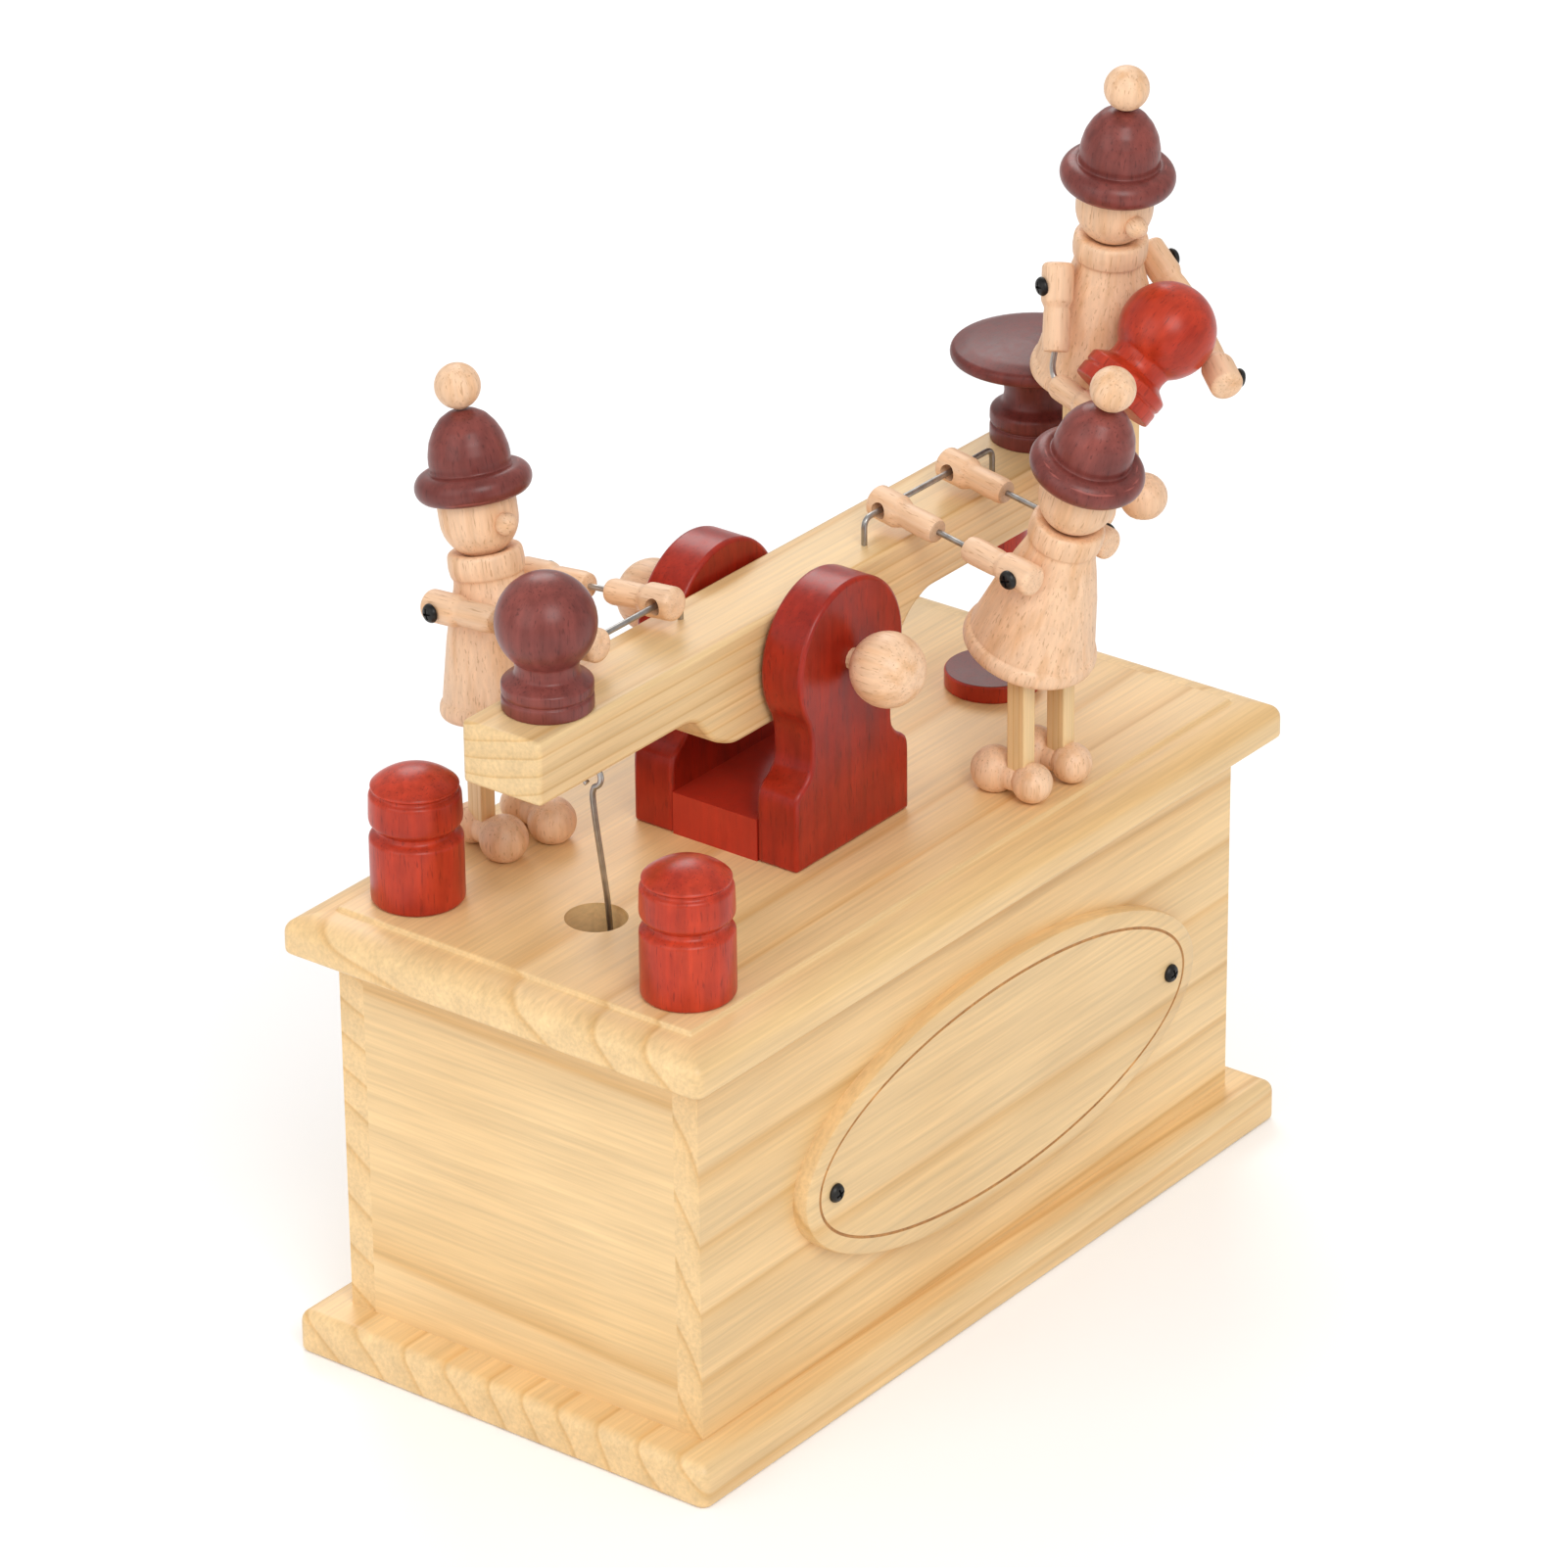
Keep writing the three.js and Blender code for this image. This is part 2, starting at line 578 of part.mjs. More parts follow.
function buildMovement() {
  const plateY = backInside - BEDPLATE;
  const barrelY = plateY - GAP - BARREL_LENGTH - 1;
  const cylinderZ = -(BARREL_RADIUS + CYLINDER_RADIUS + GAP);
  const cylinderY = barrelY + BARREL_LENGTH / 2;
  const lugX = CYLINDER_LENGTH / 2 + 2 * GAP;
  const movement = groupAt(automaton, crankX, 0, CRANK_PIN_Z);

  const [halfWidth, halfHeight] = [BEDPLATE_WIDTH / 2, BEDPLATE_HEIGHT / 2];
  const plate = box(
    -halfWidth, halfWidth, plateY, backInside,
    -BEDPLATE_SINK - halfHeight, -BEDPLATE_SINK + halfHeight,
  );
  const lugs = [-1, 1].map((side) =>
    box(-LUG / 2, LUG / 2, cylinderY - 5, plateY + 1, -5, 5).translate(side * (lugX + LUG / 2), 0, cylinderZ),
  );
  const governorX = lugX + LUG + GOVERNOR_FAN + 1;
  const shelves = [-1, 1].map((side) =>
    box(-3, 3, cylinderY - 3, plateY + 1, -1, 1).translate(governorX, 0, cylinderZ + side * 12),
  );
  const holes = [
    alongY(rod(ARBOR + GAP, plateY - 1, backInside + 1, 12)),
    alongX(rod(CYLINDER_PIVOT + GAP, -halfWidth, halfWidth, 10)).translate(0, cylinderY, cylinderZ),
    rod(GOVERNOR_SHAFT + GAP, -20, 20, 8).translate(governorX, cylinderY, cylinderZ),
  ];
  place("movement_bedplate", cut(join(plate, ...lugs, ...shelves), ...holes), brass(), movement);

  const barrel = turned(
    [
      [0, CRANK_THICKNESS],
      [ARBOR, CRANK_THICKNESS],
      [ARBOR, barrelY],
      [BARREL_RADIUS, barrelY],
      [BARREL_RADIUS, barrelY + BARREL_LENGTH],
      [ARBOR, barrelY + BARREL_LENGTH],
      [ARBOR, backInside - GAP],
      [0, backInside - GAP],
    ],
    24,
  );
  place("spring_barrel", alongY(barrel), steel(), movement);

  const crankFace = 2 * WIRE + GAP;
  const disc = alongY(rod(CRANK_DISC, crankFace + 1, crankFace + 1 + CRANK_THICKNESS, 24));
  const pin = alongY(rod(CRANK_PIN, WIRE + GAP, crankFace + 2, 10)).translate(-CRANK_THROW, 0, 0);
  const arborBore = alongY(rod(ARBOR + GAP, CRANK_THICKNESS - GAP, crankFace + 9, 12));
  place("crank_disc", cut(join(disc, pin), arborBore), beech(), movement);

  const cylinder = turned([
    [0, -lugX - LUG],
    [CYLINDER_PIVOT, -lugX - LUG],
    [CYLINDER_PIVOT, -CYLINDER_LENGTH / 2],
    [CYLINDER_RADIUS, -CYLINDER_LENGTH / 2],
    [CYLINDER_RADIUS, CYLINDER_LENGTH / 2],
    [CYLINDER_PIVOT, CYLINDER_LENGTH / 2],
    [CYLINDER_PIVOT, lugX + LUG],
    [0, lugX + LUG],
  ]);
  place("music_cylinder", alongX(cylinder).translate(0, cylinderY, cylinderZ), brass(), movement);

  const combFace = cylinderY - CYLINDER_RADIUS - GAP;
  const combWidth = CYLINDER_LENGTH - 4;
  const pitch = combWidth / COMB_TEETH;
  const combBottom = cylinderZ - CYLINDER_RADIUS - 16;
  const combPlate = box(-combWidth / 2, combWidth / 2, combFace - COMB_THICKNESS, combFace, combBottom, cylinderZ);
  const root = box(-combWidth / 2, combWidth / 2, combFace - 1, plateY, combBottom, combBottom + 8);
  const slots = [];
  for (let i = 1; i < COMB_TEETH; i++) {
    const x = -combWidth / 2 + i * pitch;
    slots.push(box(x - 0.25, x + 0.25, combFace - 3, combFace + 1, combBottom + 10, cylinderZ + 1));
  }
  place("comb", cut(join(combPlate, root), ...slots), steel(), movement);

  const governor = turned(
    [
      [0, -12.5],
      [GOVERNOR_SHAFT, -12.5],
      [GOVERNOR_SHAFT, 3],
      [GOVERNOR_FAN, 3],
      [GOVERNOR_FAN, 5],
      [GOVERNOR_SHAFT, 5],
      [GOVERNOR_SHAFT, 12.5],
      [0, 12.5],
    ],
    12,
  );
  place("governor", governor.translate(governorX, cylinderY, cylinderZ), brass(), movement);

  const wingsY = BODY_WIDTH / 2 + OVERHANG_SIDES + KEY_REACH;
  const wing = new THREE.Shape();
  wing.absellipse(0, 0, KEY_SPAN / 2, KEY_SPAN / 3.4, 0, 2 * Math.PI);
  const wings = new THREE.ExtrudeGeometry(wing, { depth: 2.4, bevelEnabled: false, curveSegments: 12 });
  wings.translate(0, wingsY, -1.2);
  place("winding_key", join(alongY(rod(KEY_STEM, backInside, wingsY, 14)), wings), brass(), movement);
}

// ---------------------------------------------------------------- figures

/** The bell-shaped body: hollow under the skirt, bored for the hip pin, dished for the head. */
function torsoShape() {
  const dish = HEAD_Z - HEAD_RADIUS - GAP;
  const blank = turned([
    [0, 0],
    [HEM_RADIUS - 1.5, 0],
    [HEM_RADIUS, 2],
    [HEM_RADIUS - 0.4, 4.2],
    [SKIRT_RADIUS, 5.6],
    [13.3, 21],
    [10, SHOULDER_Z],
    [CHEST_RADIUS, COLLAR_Z - 2],
    [CHEST_RADIUS, COLLAR_Z],
    [COLLAR_RADIUS, COLLAR_Z + 0.8],
    [COLLAR_RADIUS, NECK_Z],
    [7.5, NECK_Z],
    [5, dish + 1.2],
    [2.5, dish + 0.3],
    [0, dish],
  ]);
  const pocket = turned([[0, -1], [POCKET_RADIUS, -1], [POCKET_RADIUS - 4, POCKET_DEPTH], [0, POCKET_DEPTH]], 12);
  const bore = alongX(rod(HIP_PIN + GAP, -HEM_RADIUS, HEM_RADIUS, 8)).translate(0, 0, HIP_Z);
  return cut(blank, pocket, bore);
}

function headShape() {
  const top = HAT_Z - GAP;
  const skull = turned([...arcProfile(0, HEAD_Z, HEAD_RADIUS, -90, 0, 4), [HEAD_RADIUS, top], [0, top]]);
  const nose = turned([[0, 0], [NOSE_RADIUS, 0], ...arcProfile(0, NOSE_REACH - 11, NOSE_RADIUS, 0, 90, 3)], 10);
  nose.rotateX(Math.PI / 2).translate(0, -8, HEAD_Z - 0.5);
  return join(skull, nose);
}

function hatShape() {
  return turned([
    [0, HAT_Z],
    ...arcProfile(BRIM_RADIUS - BRIM_ROLL, HAT_Z + 3.5, BRIM_ROLL, -60, 90, 4),
    [CROWN_RADIUS, HAT_Z + 7.9],
    [CROWN_RADIUS - 0.5, HAT_Z + 11.5],
    [CROWN_RADIUS - 1.8, HAT_Z + 16.5],
    [CROWN_RADIUS - 4.4, HAT_Z + 20.6],
    [3, CROWN_TOP],
    [0, CROWN_TOP],
  ]);
}

/** Both legs with their feet, joined by the hip pin about which the body rocks. */
function legsShape() {
  const sole = -LEG_LENGTH;
  const pieces = [];
  for (const side of [-1, 1]) {
    const leg = box(-LEG_WIDTH / 2, LEG_WIDTH / 2, -LEG_DEPTH / 2, LEG_DEPTH / 2, sole + 3, HIP_PIN + 0.8);
    const toe = ball(TOE_RADIUS, 10).translate(0, TOE_Y, sole + TOE_RADIUS - 0.5);
    const heel = ball(HEEL_RADIUS, 10).translate(0, HEEL_Y, sole + HEEL_RADIUS - 0.5);
    const instep = alongY(rod(3.8, TOE_Y, HEEL_Y, 8)).translate(0, 0, sole + HEEL_RADIUS - 0.5);
    const foot = cut(join(toe, heel, instep), box(-20, 20, -30, 20, sole - 5, sole));
    for (const piece of [leg, foot]) pieces.push(piece.translate(side * LEG_X, 0, 0));
  }
  const pinEnd = HEM_RADIUS - 4.2;
  return join(alongX(rod(HIP_PIN, -pinEnd, pinEnd, 8)), ...pieces);
}

/** The upper arm with its link wire, towards -Y from the shoulder. */
function armShape(reach) {
  const shoulder = alongY(rod(SHOULDER_RADIUS, -SHOULDER_LENGTH, SHOULDER_LENGTH, 12));
  const shaft = alongY(rod(ARM_RADIUS, -ARM_LENGTH, 0, 12));
  const wireEnd = -reach + HAND_LENGTH - WIRE_GRIP;
  return join(shoulder, shaft, alongY(rod(WIRE, wireEnd, -ARM_LENGTH + 2, 8)));
}

/** A hand about its hole, whose axis is given. The link wire enters from +Y. */
function handShape(across) {
  const peg = alongY(rod(HAND_RADIUS, 0, HAND_LENGTH, 12));
  const head = alongY(rod(HAND_HEAD, -HAND_HEAD, HAND_HEAD + 0.5, 12));
  const socket = alongY(rod(WIRE + GAP, HAND_LENGTH - WIRE_GRIP - GAP, HAND_LENGTH + 1, 8));
  const turn = new THREE.Quaternion().setFromUnitVectors(new THREE.Vector3(1, 0, 0), across);
  const hole = alongX(rod(HAND_HOLE, -9, 9, 12)).applyQuaternion(turn);
  return cut(join(peg, head), socket, hole);
}

/** Everything of a figure above its legs, about a hem at the group's origin. */
function dressFigure(prefix, body) {
  place(`${prefix}_torso`, torsoShape(), beech(), body);
  place(`${prefix}_head`, headShape(), beech(), body);
  place(`${prefix}_hat`, hatShape(), brownStain(), body);
  const pompon = ball(POMPON_RADIUS, 10).translate(0, 0, CROWN_TOP + GAP + POMPON_RADIUS);
  place(`${prefix}_pompon`, pompon, beech(), body);
}

/** The legs, and the leaning body above them. Returns the body's group. */
function buildFigure(prefix, { x, y, turn, lean }, hipZ) {
  const stand = groupAt(automaton, x, y, hipZ);
  stand.rotation.z = radians(turn);
  place(`${prefix}_legs`, legsShape(), beech(), stand);
  const hip = groupAt(stand, 0, 0, 0);
  hip.rotation.x = radians(lean);
  const body = groupAt(hip, 0, 0, -HIP_Z);
  dressFigure(prefix, body);
  automaton.updateMatrixWorld(true);
  return body;
}

/** A standing worker whose hands hold a handle wire. It faces the beam and leans away from it. */
function buildWorker(prefix, pose) {
  const { handle, hands } = pose;
  const body = buildFigure(prefix, { ...pose, lean: -pose.lean }, deck + HIP_RISE);
  const sideways = new THREE.Vector3(1, 0, 0).transformDirection(body.matrixWorld);
  for (const [i, name] of ["right", "left"].entries()) {
    const shoulder = body.localToWorld(new THREE.Vector3((2 * i - 1) * SHOULDER_X, 0, SHOULDER_Z));
    const grip = new THREE.Vector3(hands[i], handle.y, handleZ);
    const back = shoulder.clone().sub(grip);
    const reach = back.length();
    back.normalize();
    const across = sideways.clone().addScaledVector(back, -sideways.dot(back)).normalize();
    const upward = across.clone().cross(back);
    const arm = groupAt(automaton, ...shoulder);
    arm.quaternion.setFromRotationMatrix(new THREE.Matrix4().makeBasis(across, back, upward));
    place(`${prefix}_${name}_arm`, armShape(reach), beech(), arm);
    const hand = groupAt(arm, 0, -reach, 0);
    const wireAxis = new THREE.Vector3(1, 0, 0).applyQuaternion(arm.quaternion.clone().invert());
    place(`${prefix}_${name}_hand`, handShape(wireAxis), beech(), hand);
  }
}

/** An arm bent at its wire: shoulder, end of the upper arm, bend of the wire, wrist and hand. */
function bentArm(shoulder, elbow, bend, wrist, hand) {
  const limb = (from, to, radius, sides) => wireAlong(new THREE.LineCurve3(from, to), 1, radius, sides);
  const upperway = elbow.clone().sub(shoulder).normalize();
  const top = shoulder.clone().addScaledVector(upperway, -SHOULDER_LENGTH);
  const barrel = shoulder.clone().addScaledVector(upperway, SHOULDER_LENGTH);
  const inside = elbow.clone().addScaledVector(upperway, -2);
  const grip = wrist.clone().lerp(hand, 0.2);
  const wire = wireAlong(new THREE.CatmullRomCurve3([inside, elbow, bend, wrist, grip]), 12);
  const handway = hand.clone().sub(wrist).normalize();
  const tip = hand.clone().addScaledVector(handway, HAND_HEAD);
  const heel = hand.clone().addScaledVector(handway, -HAND_HEAD);
  return join(
    limb(top, barrel, SHOULDER_RADIUS, 12),
    limb(shoulder, elbow, ARM_RADIUS, 12),
    wire,
    limb(wrist, hand, HAND_RADIUS, 12),
    limb(heel, tip, HAND_HEAD, 12),
  );
}

/** The figure seated on the mushroom knob's rim, holding the mallet before it in both hands. */
function buildSitter() {
  const body = buildFigure("sitter", SITTER, beamTop + SITTER.rise);
  const stand = body.parent.parent;
  const at = (x, forward, rise) => new THREE.Vector3(x, -forward, rise);
  const shoulder = (side) =>
    stand.worldToLocal(body.localToWorld(new THREE.Vector3(side * SHOULDER_X, 0, SHOULDER_Z)));
  const right = bentArm(shoulder(-1), at(-19.4, 9, 1), at(-19.7, 8, -6), at(-19.3, 10.5, -8.8), at(-18.2, 27.5, -10));
  place("sitter_right_arm", right, beech(), stand);
  const left = bentArm(shoulder(1), at(18, 15, 7), at(18.4, 19, 3), at(18, 22, 0.5), at(15.2, 36, -4));
  place("sitter_left_arm", left, beech(), stand);

  const mallet = groupAt(stand, MALLET_SIDE, -MALLET_FORWARD, MALLET_RISE);
  mallet.rotation.set(radians(MALLET_TURN), radians(MALLET_TILT), 0);
  place("mallet", ballKnob().translate(0, 0, -KNOB_BALL_Z), redStain(), mallet);
}

buildBox();
buildTopBoard();
buildCradle();
buildBeam();
buildPullWire();
buildMovement();
buildWorker("left_worker", LEFT_WORKER);
buildWorker("right_worker", RIGHT_WORKER);
buildSitter();

export default automaton;
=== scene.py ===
import json
import math

import bmesh
import bpy
from mathutils import Matrix, Quaternion, Vector


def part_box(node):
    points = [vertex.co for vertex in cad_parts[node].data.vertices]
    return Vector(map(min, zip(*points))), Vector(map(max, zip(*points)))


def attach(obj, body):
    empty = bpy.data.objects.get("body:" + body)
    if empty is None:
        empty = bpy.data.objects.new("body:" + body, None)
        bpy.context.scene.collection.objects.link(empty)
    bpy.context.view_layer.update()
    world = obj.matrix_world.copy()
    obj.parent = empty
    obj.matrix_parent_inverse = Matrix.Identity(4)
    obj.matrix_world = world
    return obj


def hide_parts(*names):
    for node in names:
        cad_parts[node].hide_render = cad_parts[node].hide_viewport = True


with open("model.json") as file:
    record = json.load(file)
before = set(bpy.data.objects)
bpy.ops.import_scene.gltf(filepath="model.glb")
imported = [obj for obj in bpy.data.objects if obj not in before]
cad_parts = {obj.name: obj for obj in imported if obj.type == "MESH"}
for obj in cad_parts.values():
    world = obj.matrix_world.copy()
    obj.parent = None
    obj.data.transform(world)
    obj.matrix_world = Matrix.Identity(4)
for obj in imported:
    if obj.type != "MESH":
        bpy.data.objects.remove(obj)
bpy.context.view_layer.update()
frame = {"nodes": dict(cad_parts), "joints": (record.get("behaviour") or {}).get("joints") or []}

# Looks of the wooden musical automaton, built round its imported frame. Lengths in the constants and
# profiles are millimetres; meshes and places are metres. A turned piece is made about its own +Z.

MM = 0.001
JOINTS = {joint["name"]: joint for joint in frame["joints"]}
X, Y, Z = Vector((1, 0, 0)), Vector((0, 1, 0)), Vector((0, 0, 1))

# ------------------------------------------------------------------ sizes shared with the frame

WIRE = 0.8  # radius of the steel wire
HIP_HEIGHT = 14.5  # of the hip pin above the hem
SHOULDER_HEIGHT = 31.5
SHOULDER_SIDE = 15.2
LEG_LENGTH = 52.2
ARM_LENGTH = 18.0
HAND_LENGTH = 18.0
KNOB_BALL_HEIGHT = 23.1
LEANS = {"left_worker": -12.0, "right_worker": -19.0, "sitter": 9.0}  # degrees, forward
HANDS = {"left_worker": (-78.8, -48.2), "right_worker": (64.0, 33.5)}  # along their handle wires


def low(node):
    return Vector(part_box(node)[0]) / MM


def high(node):
    return Vector(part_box(node)[1]) / MM


def middle(node):
    return (low(node) + high(node)) / 2


# ------------------------------------------------------------------ mesh tools


def rounded(points, cut, steps=4):
    """An open outline with each inner corner cut back by at most cut and rounded."""
    points = [Vector(p) for p in points]
    result = [points[0]]
    for before, corner, after in zip(points, points[1:], points[2:]):
        back, ahead = before - corner, after - corner
        start = corner + back.normalized() * min(cut, back.length * 0.48)
        end = corner + ahead.normalized() * min(cut, ahead.length * 0.48)
        for i in range(steps + 1):
            t = i / steps
            result.append(start * (1 - t) ** 2 + corner * 2 * t * (1 - t) + end * t**2)
    result.append(points[-1])
    return result


def arc(centre, radius, start, end, steps=12):
    """Points on an arc in the outline's plane. Angles are in degrees."""
    angles = [math.radians(start + (end - start) * i / steps) for i in range(steps + 1)]
    return [(centre[0] + radius * math.cos(a), centre[1] + radius * math.sin(a)) for a in angles]


def shown(name, mesh, material, crease=38):
    piece = bpy.data.objects.new(name, mesh)
    bpy.context.scene.collection.objects.link(piece)
    mesh.materials.append(material)
    smooth(mesh, crease)
    return piece


def smooth(mesh, crease=38):
    mesh.shade_smooth()
    mesh.set_sharp_from_angle(angle=math.radians(crease))


def mesh_of(name, points, faces):
    mesh = bpy.data.meshes.new(name)
    mesh.from_pydata([Vector(p) * MM for p in points], [], faces)
    shape = bmesh.new()
    shape.from_mesh(mesh)
    bmesh.ops.remove_doubles(shape, verts=shape.verts, dist=1e-7)
    bmesh.ops.recalc_face_normals(shape, faces=shape.faces)
    shape.to_mesh(mesh)
    shape.free()
    return mesh


def turned(name, profile, material, sides=56, corner=0.5):
    """A lathe-turned piece about +Z. The profile of [radius, height] starts and ends on the axis."""
    outline = rounded([(r, z) for r, z in profile], corner)
    points, faces, rings = [], [], []
    for r, z in outline:
        if r < 1e-4:
            rings.append([len(points)])
            points.append((0, 0, z))
            continue
        rings.append(list(range(len(points), len(points) + sides)))
        for i in range(sides):
            angle = 2 * math.pi * i / sides
            points.append((r * math.cos(angle), r * math.sin(angle), z))
    for a, b in zip(rings, rings[1:]):
        faces += strip(a, b, sides)
    return shown(name, mesh_of(name, points, faces), material)


def strip(a, b, sides):
    """Faces between two rings, either of which may be a single point."""
    if len(a) == 1 and len(b) == 1:
        return []
    following = lambda ring, i: ring[(i + 1) % sides] if len(ring) > 1 else ring[0]
    at = lambda ring, i: ring[i] if len(ring) > 1 else ring[0]
    faces = []
    for i in range(sides):
        corners = [at(a, i), following(a, i), following(b, i), at(b, i)]
        faces.append(list(dict.fromkeys(corners)))
    return faces


def loops(name, rings, material, crease=38):
    """A solid skinned over closed rings of equally many points, capped at both ends."""
    sides = len(rings[0])
    points = [p for ring in rings for p in ring]
    faces = [list(range(sides)), list(range(len(points) - sides, len(points)))]
    for k in range(len(rings) - 1):
        a = list(range(k * sides, (k + 1) * sides))
        b = list(range((k + 1) * sides, (k + 2) * sides))
        faces += strip(a, b, sides)
    return shown(name, mesh_of(name, points, faces), material, crease)


def rod(name, path, radius, material, sides=14, closed=False):
    """A round wire along a path, carried without twist."""
    path = [Vector(p) for p in path]
    count = len(path)
    tangents = []
    for i in range(count):
        before = path[i - 1] if closed or i else path[0]
        after = path[(i + 1) % count] if closed or i < count - 1 else path[-1]
        tangents.append((after - before).normalized())
    side = tangents[0].orthogonal().normalized()
    rings = []
    for i, tangent in enumerate(tangents):
        if i:
            side = tangents[i - 1].rotation_difference(tangent) @ side
        other = tangent.cross(side)
        ring = []
        for k in range(sides):
            angle = 2 * math.pi * k / sides
            ring.append(path[i] + (side * math.cos(angle) + other * math.sin(angle)) * radius)
        rings.append(ring)
    if not closed:
        return loops(name, rings, material)
    points = [p for ring in rings for p in ring]
    faces = []
    for k in range(count):
        a = list(range(k * sides, (k + 1) * sides))
        following = (k + 1) % count
        faces += strip(a, list(range(following * sides, (following + 1) * sides)), sides)
    return shown(name, mesh_of(name, points, faces), material)


def slab(name, outline, y0, y1, material, edge=0.6):
    """An outline in X and Z, given thickness along Y, with eased edges."""
    outline = [Vector(p) for p in outline]
    rings = [[(p.x, y0, p.y) for p in outline], [(p.x, y1, p.y) for p in outline]]
    piece = loops(name, rings, material)
    return eased(piece, edge)


def eased(piece, edge, segments=3, angle=32):
    bevel = piece.modifiers.new("eased_edges", "BEVEL")
    bevel.width = edge * MM
    bevel.segments = segments
    bevel.limit_method = "ANGLE"
    bevel.angle_limit = math.radians(angle)
    bevel.harden_normals = False
    return piece


def bar(name, size, material, edge=0.4):
    x, y, z = Vector(size) / 2
    rings = [[(-x, -y, h), (x, -y, h), (x, y, h), (-x, y, h)] for h in (-z, z)]
    return eased(loops(name, rings, material), edge)


def rounded_rectangle(length, width, radius, z, steps=6):
    ring = []
    for quarter, (sx, sy) in enumerate([(1, 1), (-1, 1), (-1, -1), (1, -1)]):
        centre = (sx * (length / 2 - radius), sy * (width / 2 - radius))
        for px, py in arc(centre, radius, 90 * quarter, 90 * quarter + 90, steps):
            ring.append((px, py, z))
    return ring


def bored(piece, cutter):
    """Cuts one piece by another, which is then dropped."""
    cut = piece.modifiers.new("bore", "BOOLEAN")
    cut.operation = "DIFFERENCE"
    cut.solver = "EXACT"
    cut.object = cutter
    bpy.context.view_layer.update()
    graph = bpy.context.evaluated_depsgraph_get()
    mesh = bpy.data.meshes.new_from_object(piece.evaluated_get(graph))
    piece.modifiers.remove(cut)
    piece.data = mesh
    smooth(mesh, 30)
    bpy.data.objects.remove(cutter)
    return piece


def basis(origin, x_axis, z_axis):
    """A place whose +Z is z_axis and whose +X is as near x_axis as can be. The origin is in mm."""
    z = Vector(z_axis).normalized()
    x = Vector(x_axis)
    x = (x - z * x.dot(z)).normalized()
    turn = Matrix((x, z.cross(x), z)).transposed().to_4x4()
    return Matrix.Translation(Vector(origin) * MM) @ turn


def settle(piece, body, place=None, nodes=()):
    """Puts a piece in place, on its body and the nodes it stands for."""
    if place is not None:
        piece.matrix_world = place
    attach(piece, body)
    if nodes:
        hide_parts(*nodes)
    return piece


# ------------------------------------------------------------------ materials


class Nodes:
    """A short way to write a material's node tree."""

    def __init__(self, name):
        self.material = bpy.data.materials.new(name)
        self.material.use_nodes = True
        self.tree = self.material.node_tree
        self.shader = self.tree.nodes["Principled BSDF"]

    def add(self, kind, inputs=(), **settings):
        node = self.tree.nodes.new(kind)
        for key, value in settings.items():
            setattr(node, key, value)
        for key, value in dict(inputs).items():
            self.put(node.inputs[key], value)
        return node

    def put(self, socket, value):
        if isinstance(value, bpy.types.NodeSocket):
            self.tree.links.new(value, socket)
        else:
            socket.default_value = value

    def math(self, operation, a, b=0.0):
        node = self.add("ShaderNodeMath", {0: a, 1: b}, operation=operation)
        return node.outputs[0]

    def mix(self, factor, a, b, blend="MIX"):
        node = self.add("ShaderNodeMix", data_type="RGBA", blend_type=blend)
        self.put(node.inputs[0], factor)
        self.put(node.inputs[6], a)
        self.put(node.inputs[7], b)
        return node.outputs[2]

    def noise(self, vector, scale, detail=3.0, rough=0.55, distortion=0.0):
        inputs = {"Vector": vector, "Scale": scale, "Detail": detail, "Roughness": rough}
        node = self.add("ShaderNodeTexNoise", {**inputs, "Distortion": distortion})
        return node.outputs["Fac"]

    def ramp(self, value, stops):
        node = self.add("ShaderNodeValToRGB", {"Fac": value})
        elements = node.color_ramp.elements
        while len(elements) < len(stops):
            elements.new(0.5)
        for element, (position, colour) in zip(elements, stops):
            element.position = position
            element.color = colour if isinstance(colour, tuple) else (colour, colour, colour, 1)
        return node.outputs["Color"]

    def stretched(self, vector, scale):
        return self.add("ShaderNodeMapping", {"Vector": vector, "Scale": scale}).outputs["Vector"]


def rgb(r, g, b):
    return (r, g, b, 1.0)


def own_coordinates(n, spread=0.35):
    """The piece's own coordinates, moved by an amount that differs from piece to piece."""
    place = n.add("ShaderNodeTexCoord").outputs["Object"]
    chance = n.add("ShaderNodeObjectInfo").outputs["Random"]
    shift = n.math("MULTIPLY", chance, spread)
    apart = n.add("ShaderNodeCombineXYZ", {"X": shift, "Y": shift, "Z": shift}).outputs[0]
    return n.add("ShaderNodeVectorMath", {0: place, 1: apart}, operation="ADD").outputs[0]


def growth_rings(n, vector, along, centre, spacing, wander):
    """Repeats from 0 to 1 across each year's growth, round a heart that lies along an axis."""
    flat = [1.0, 1.0, 1.0]
    flat[along] = 0.06
    near = n.add("ShaderNodeVectorMath", {0: vector, 1: centre}, operation="SUBTRACT").outputs[0]
    slow = n.add("ShaderNodeTexNoise", {"Vector": n.stretched(near, flat), "Scale": 9.0, "Detail": 2.0})
    bend = n.add("ShaderNodeVectorMath", {0: slow.outputs["Color"], "Scale": wander}, operation="SCALE")
    bent = n.add("ShaderNodeVectorMath", {0: near, 1: bend.outputs[0]}, operation="ADD").outputs[0]
    across = [1.0, 1.0, 1.0]
    across[along] = 0.05
    length = n.add("ShaderNodeVectorMath", {0: n.stretched(bent, across)}, operation="LENGTH")
    return n.math("FRACT", n.math("DIVIDE", length.outputs["Value"], spacing))


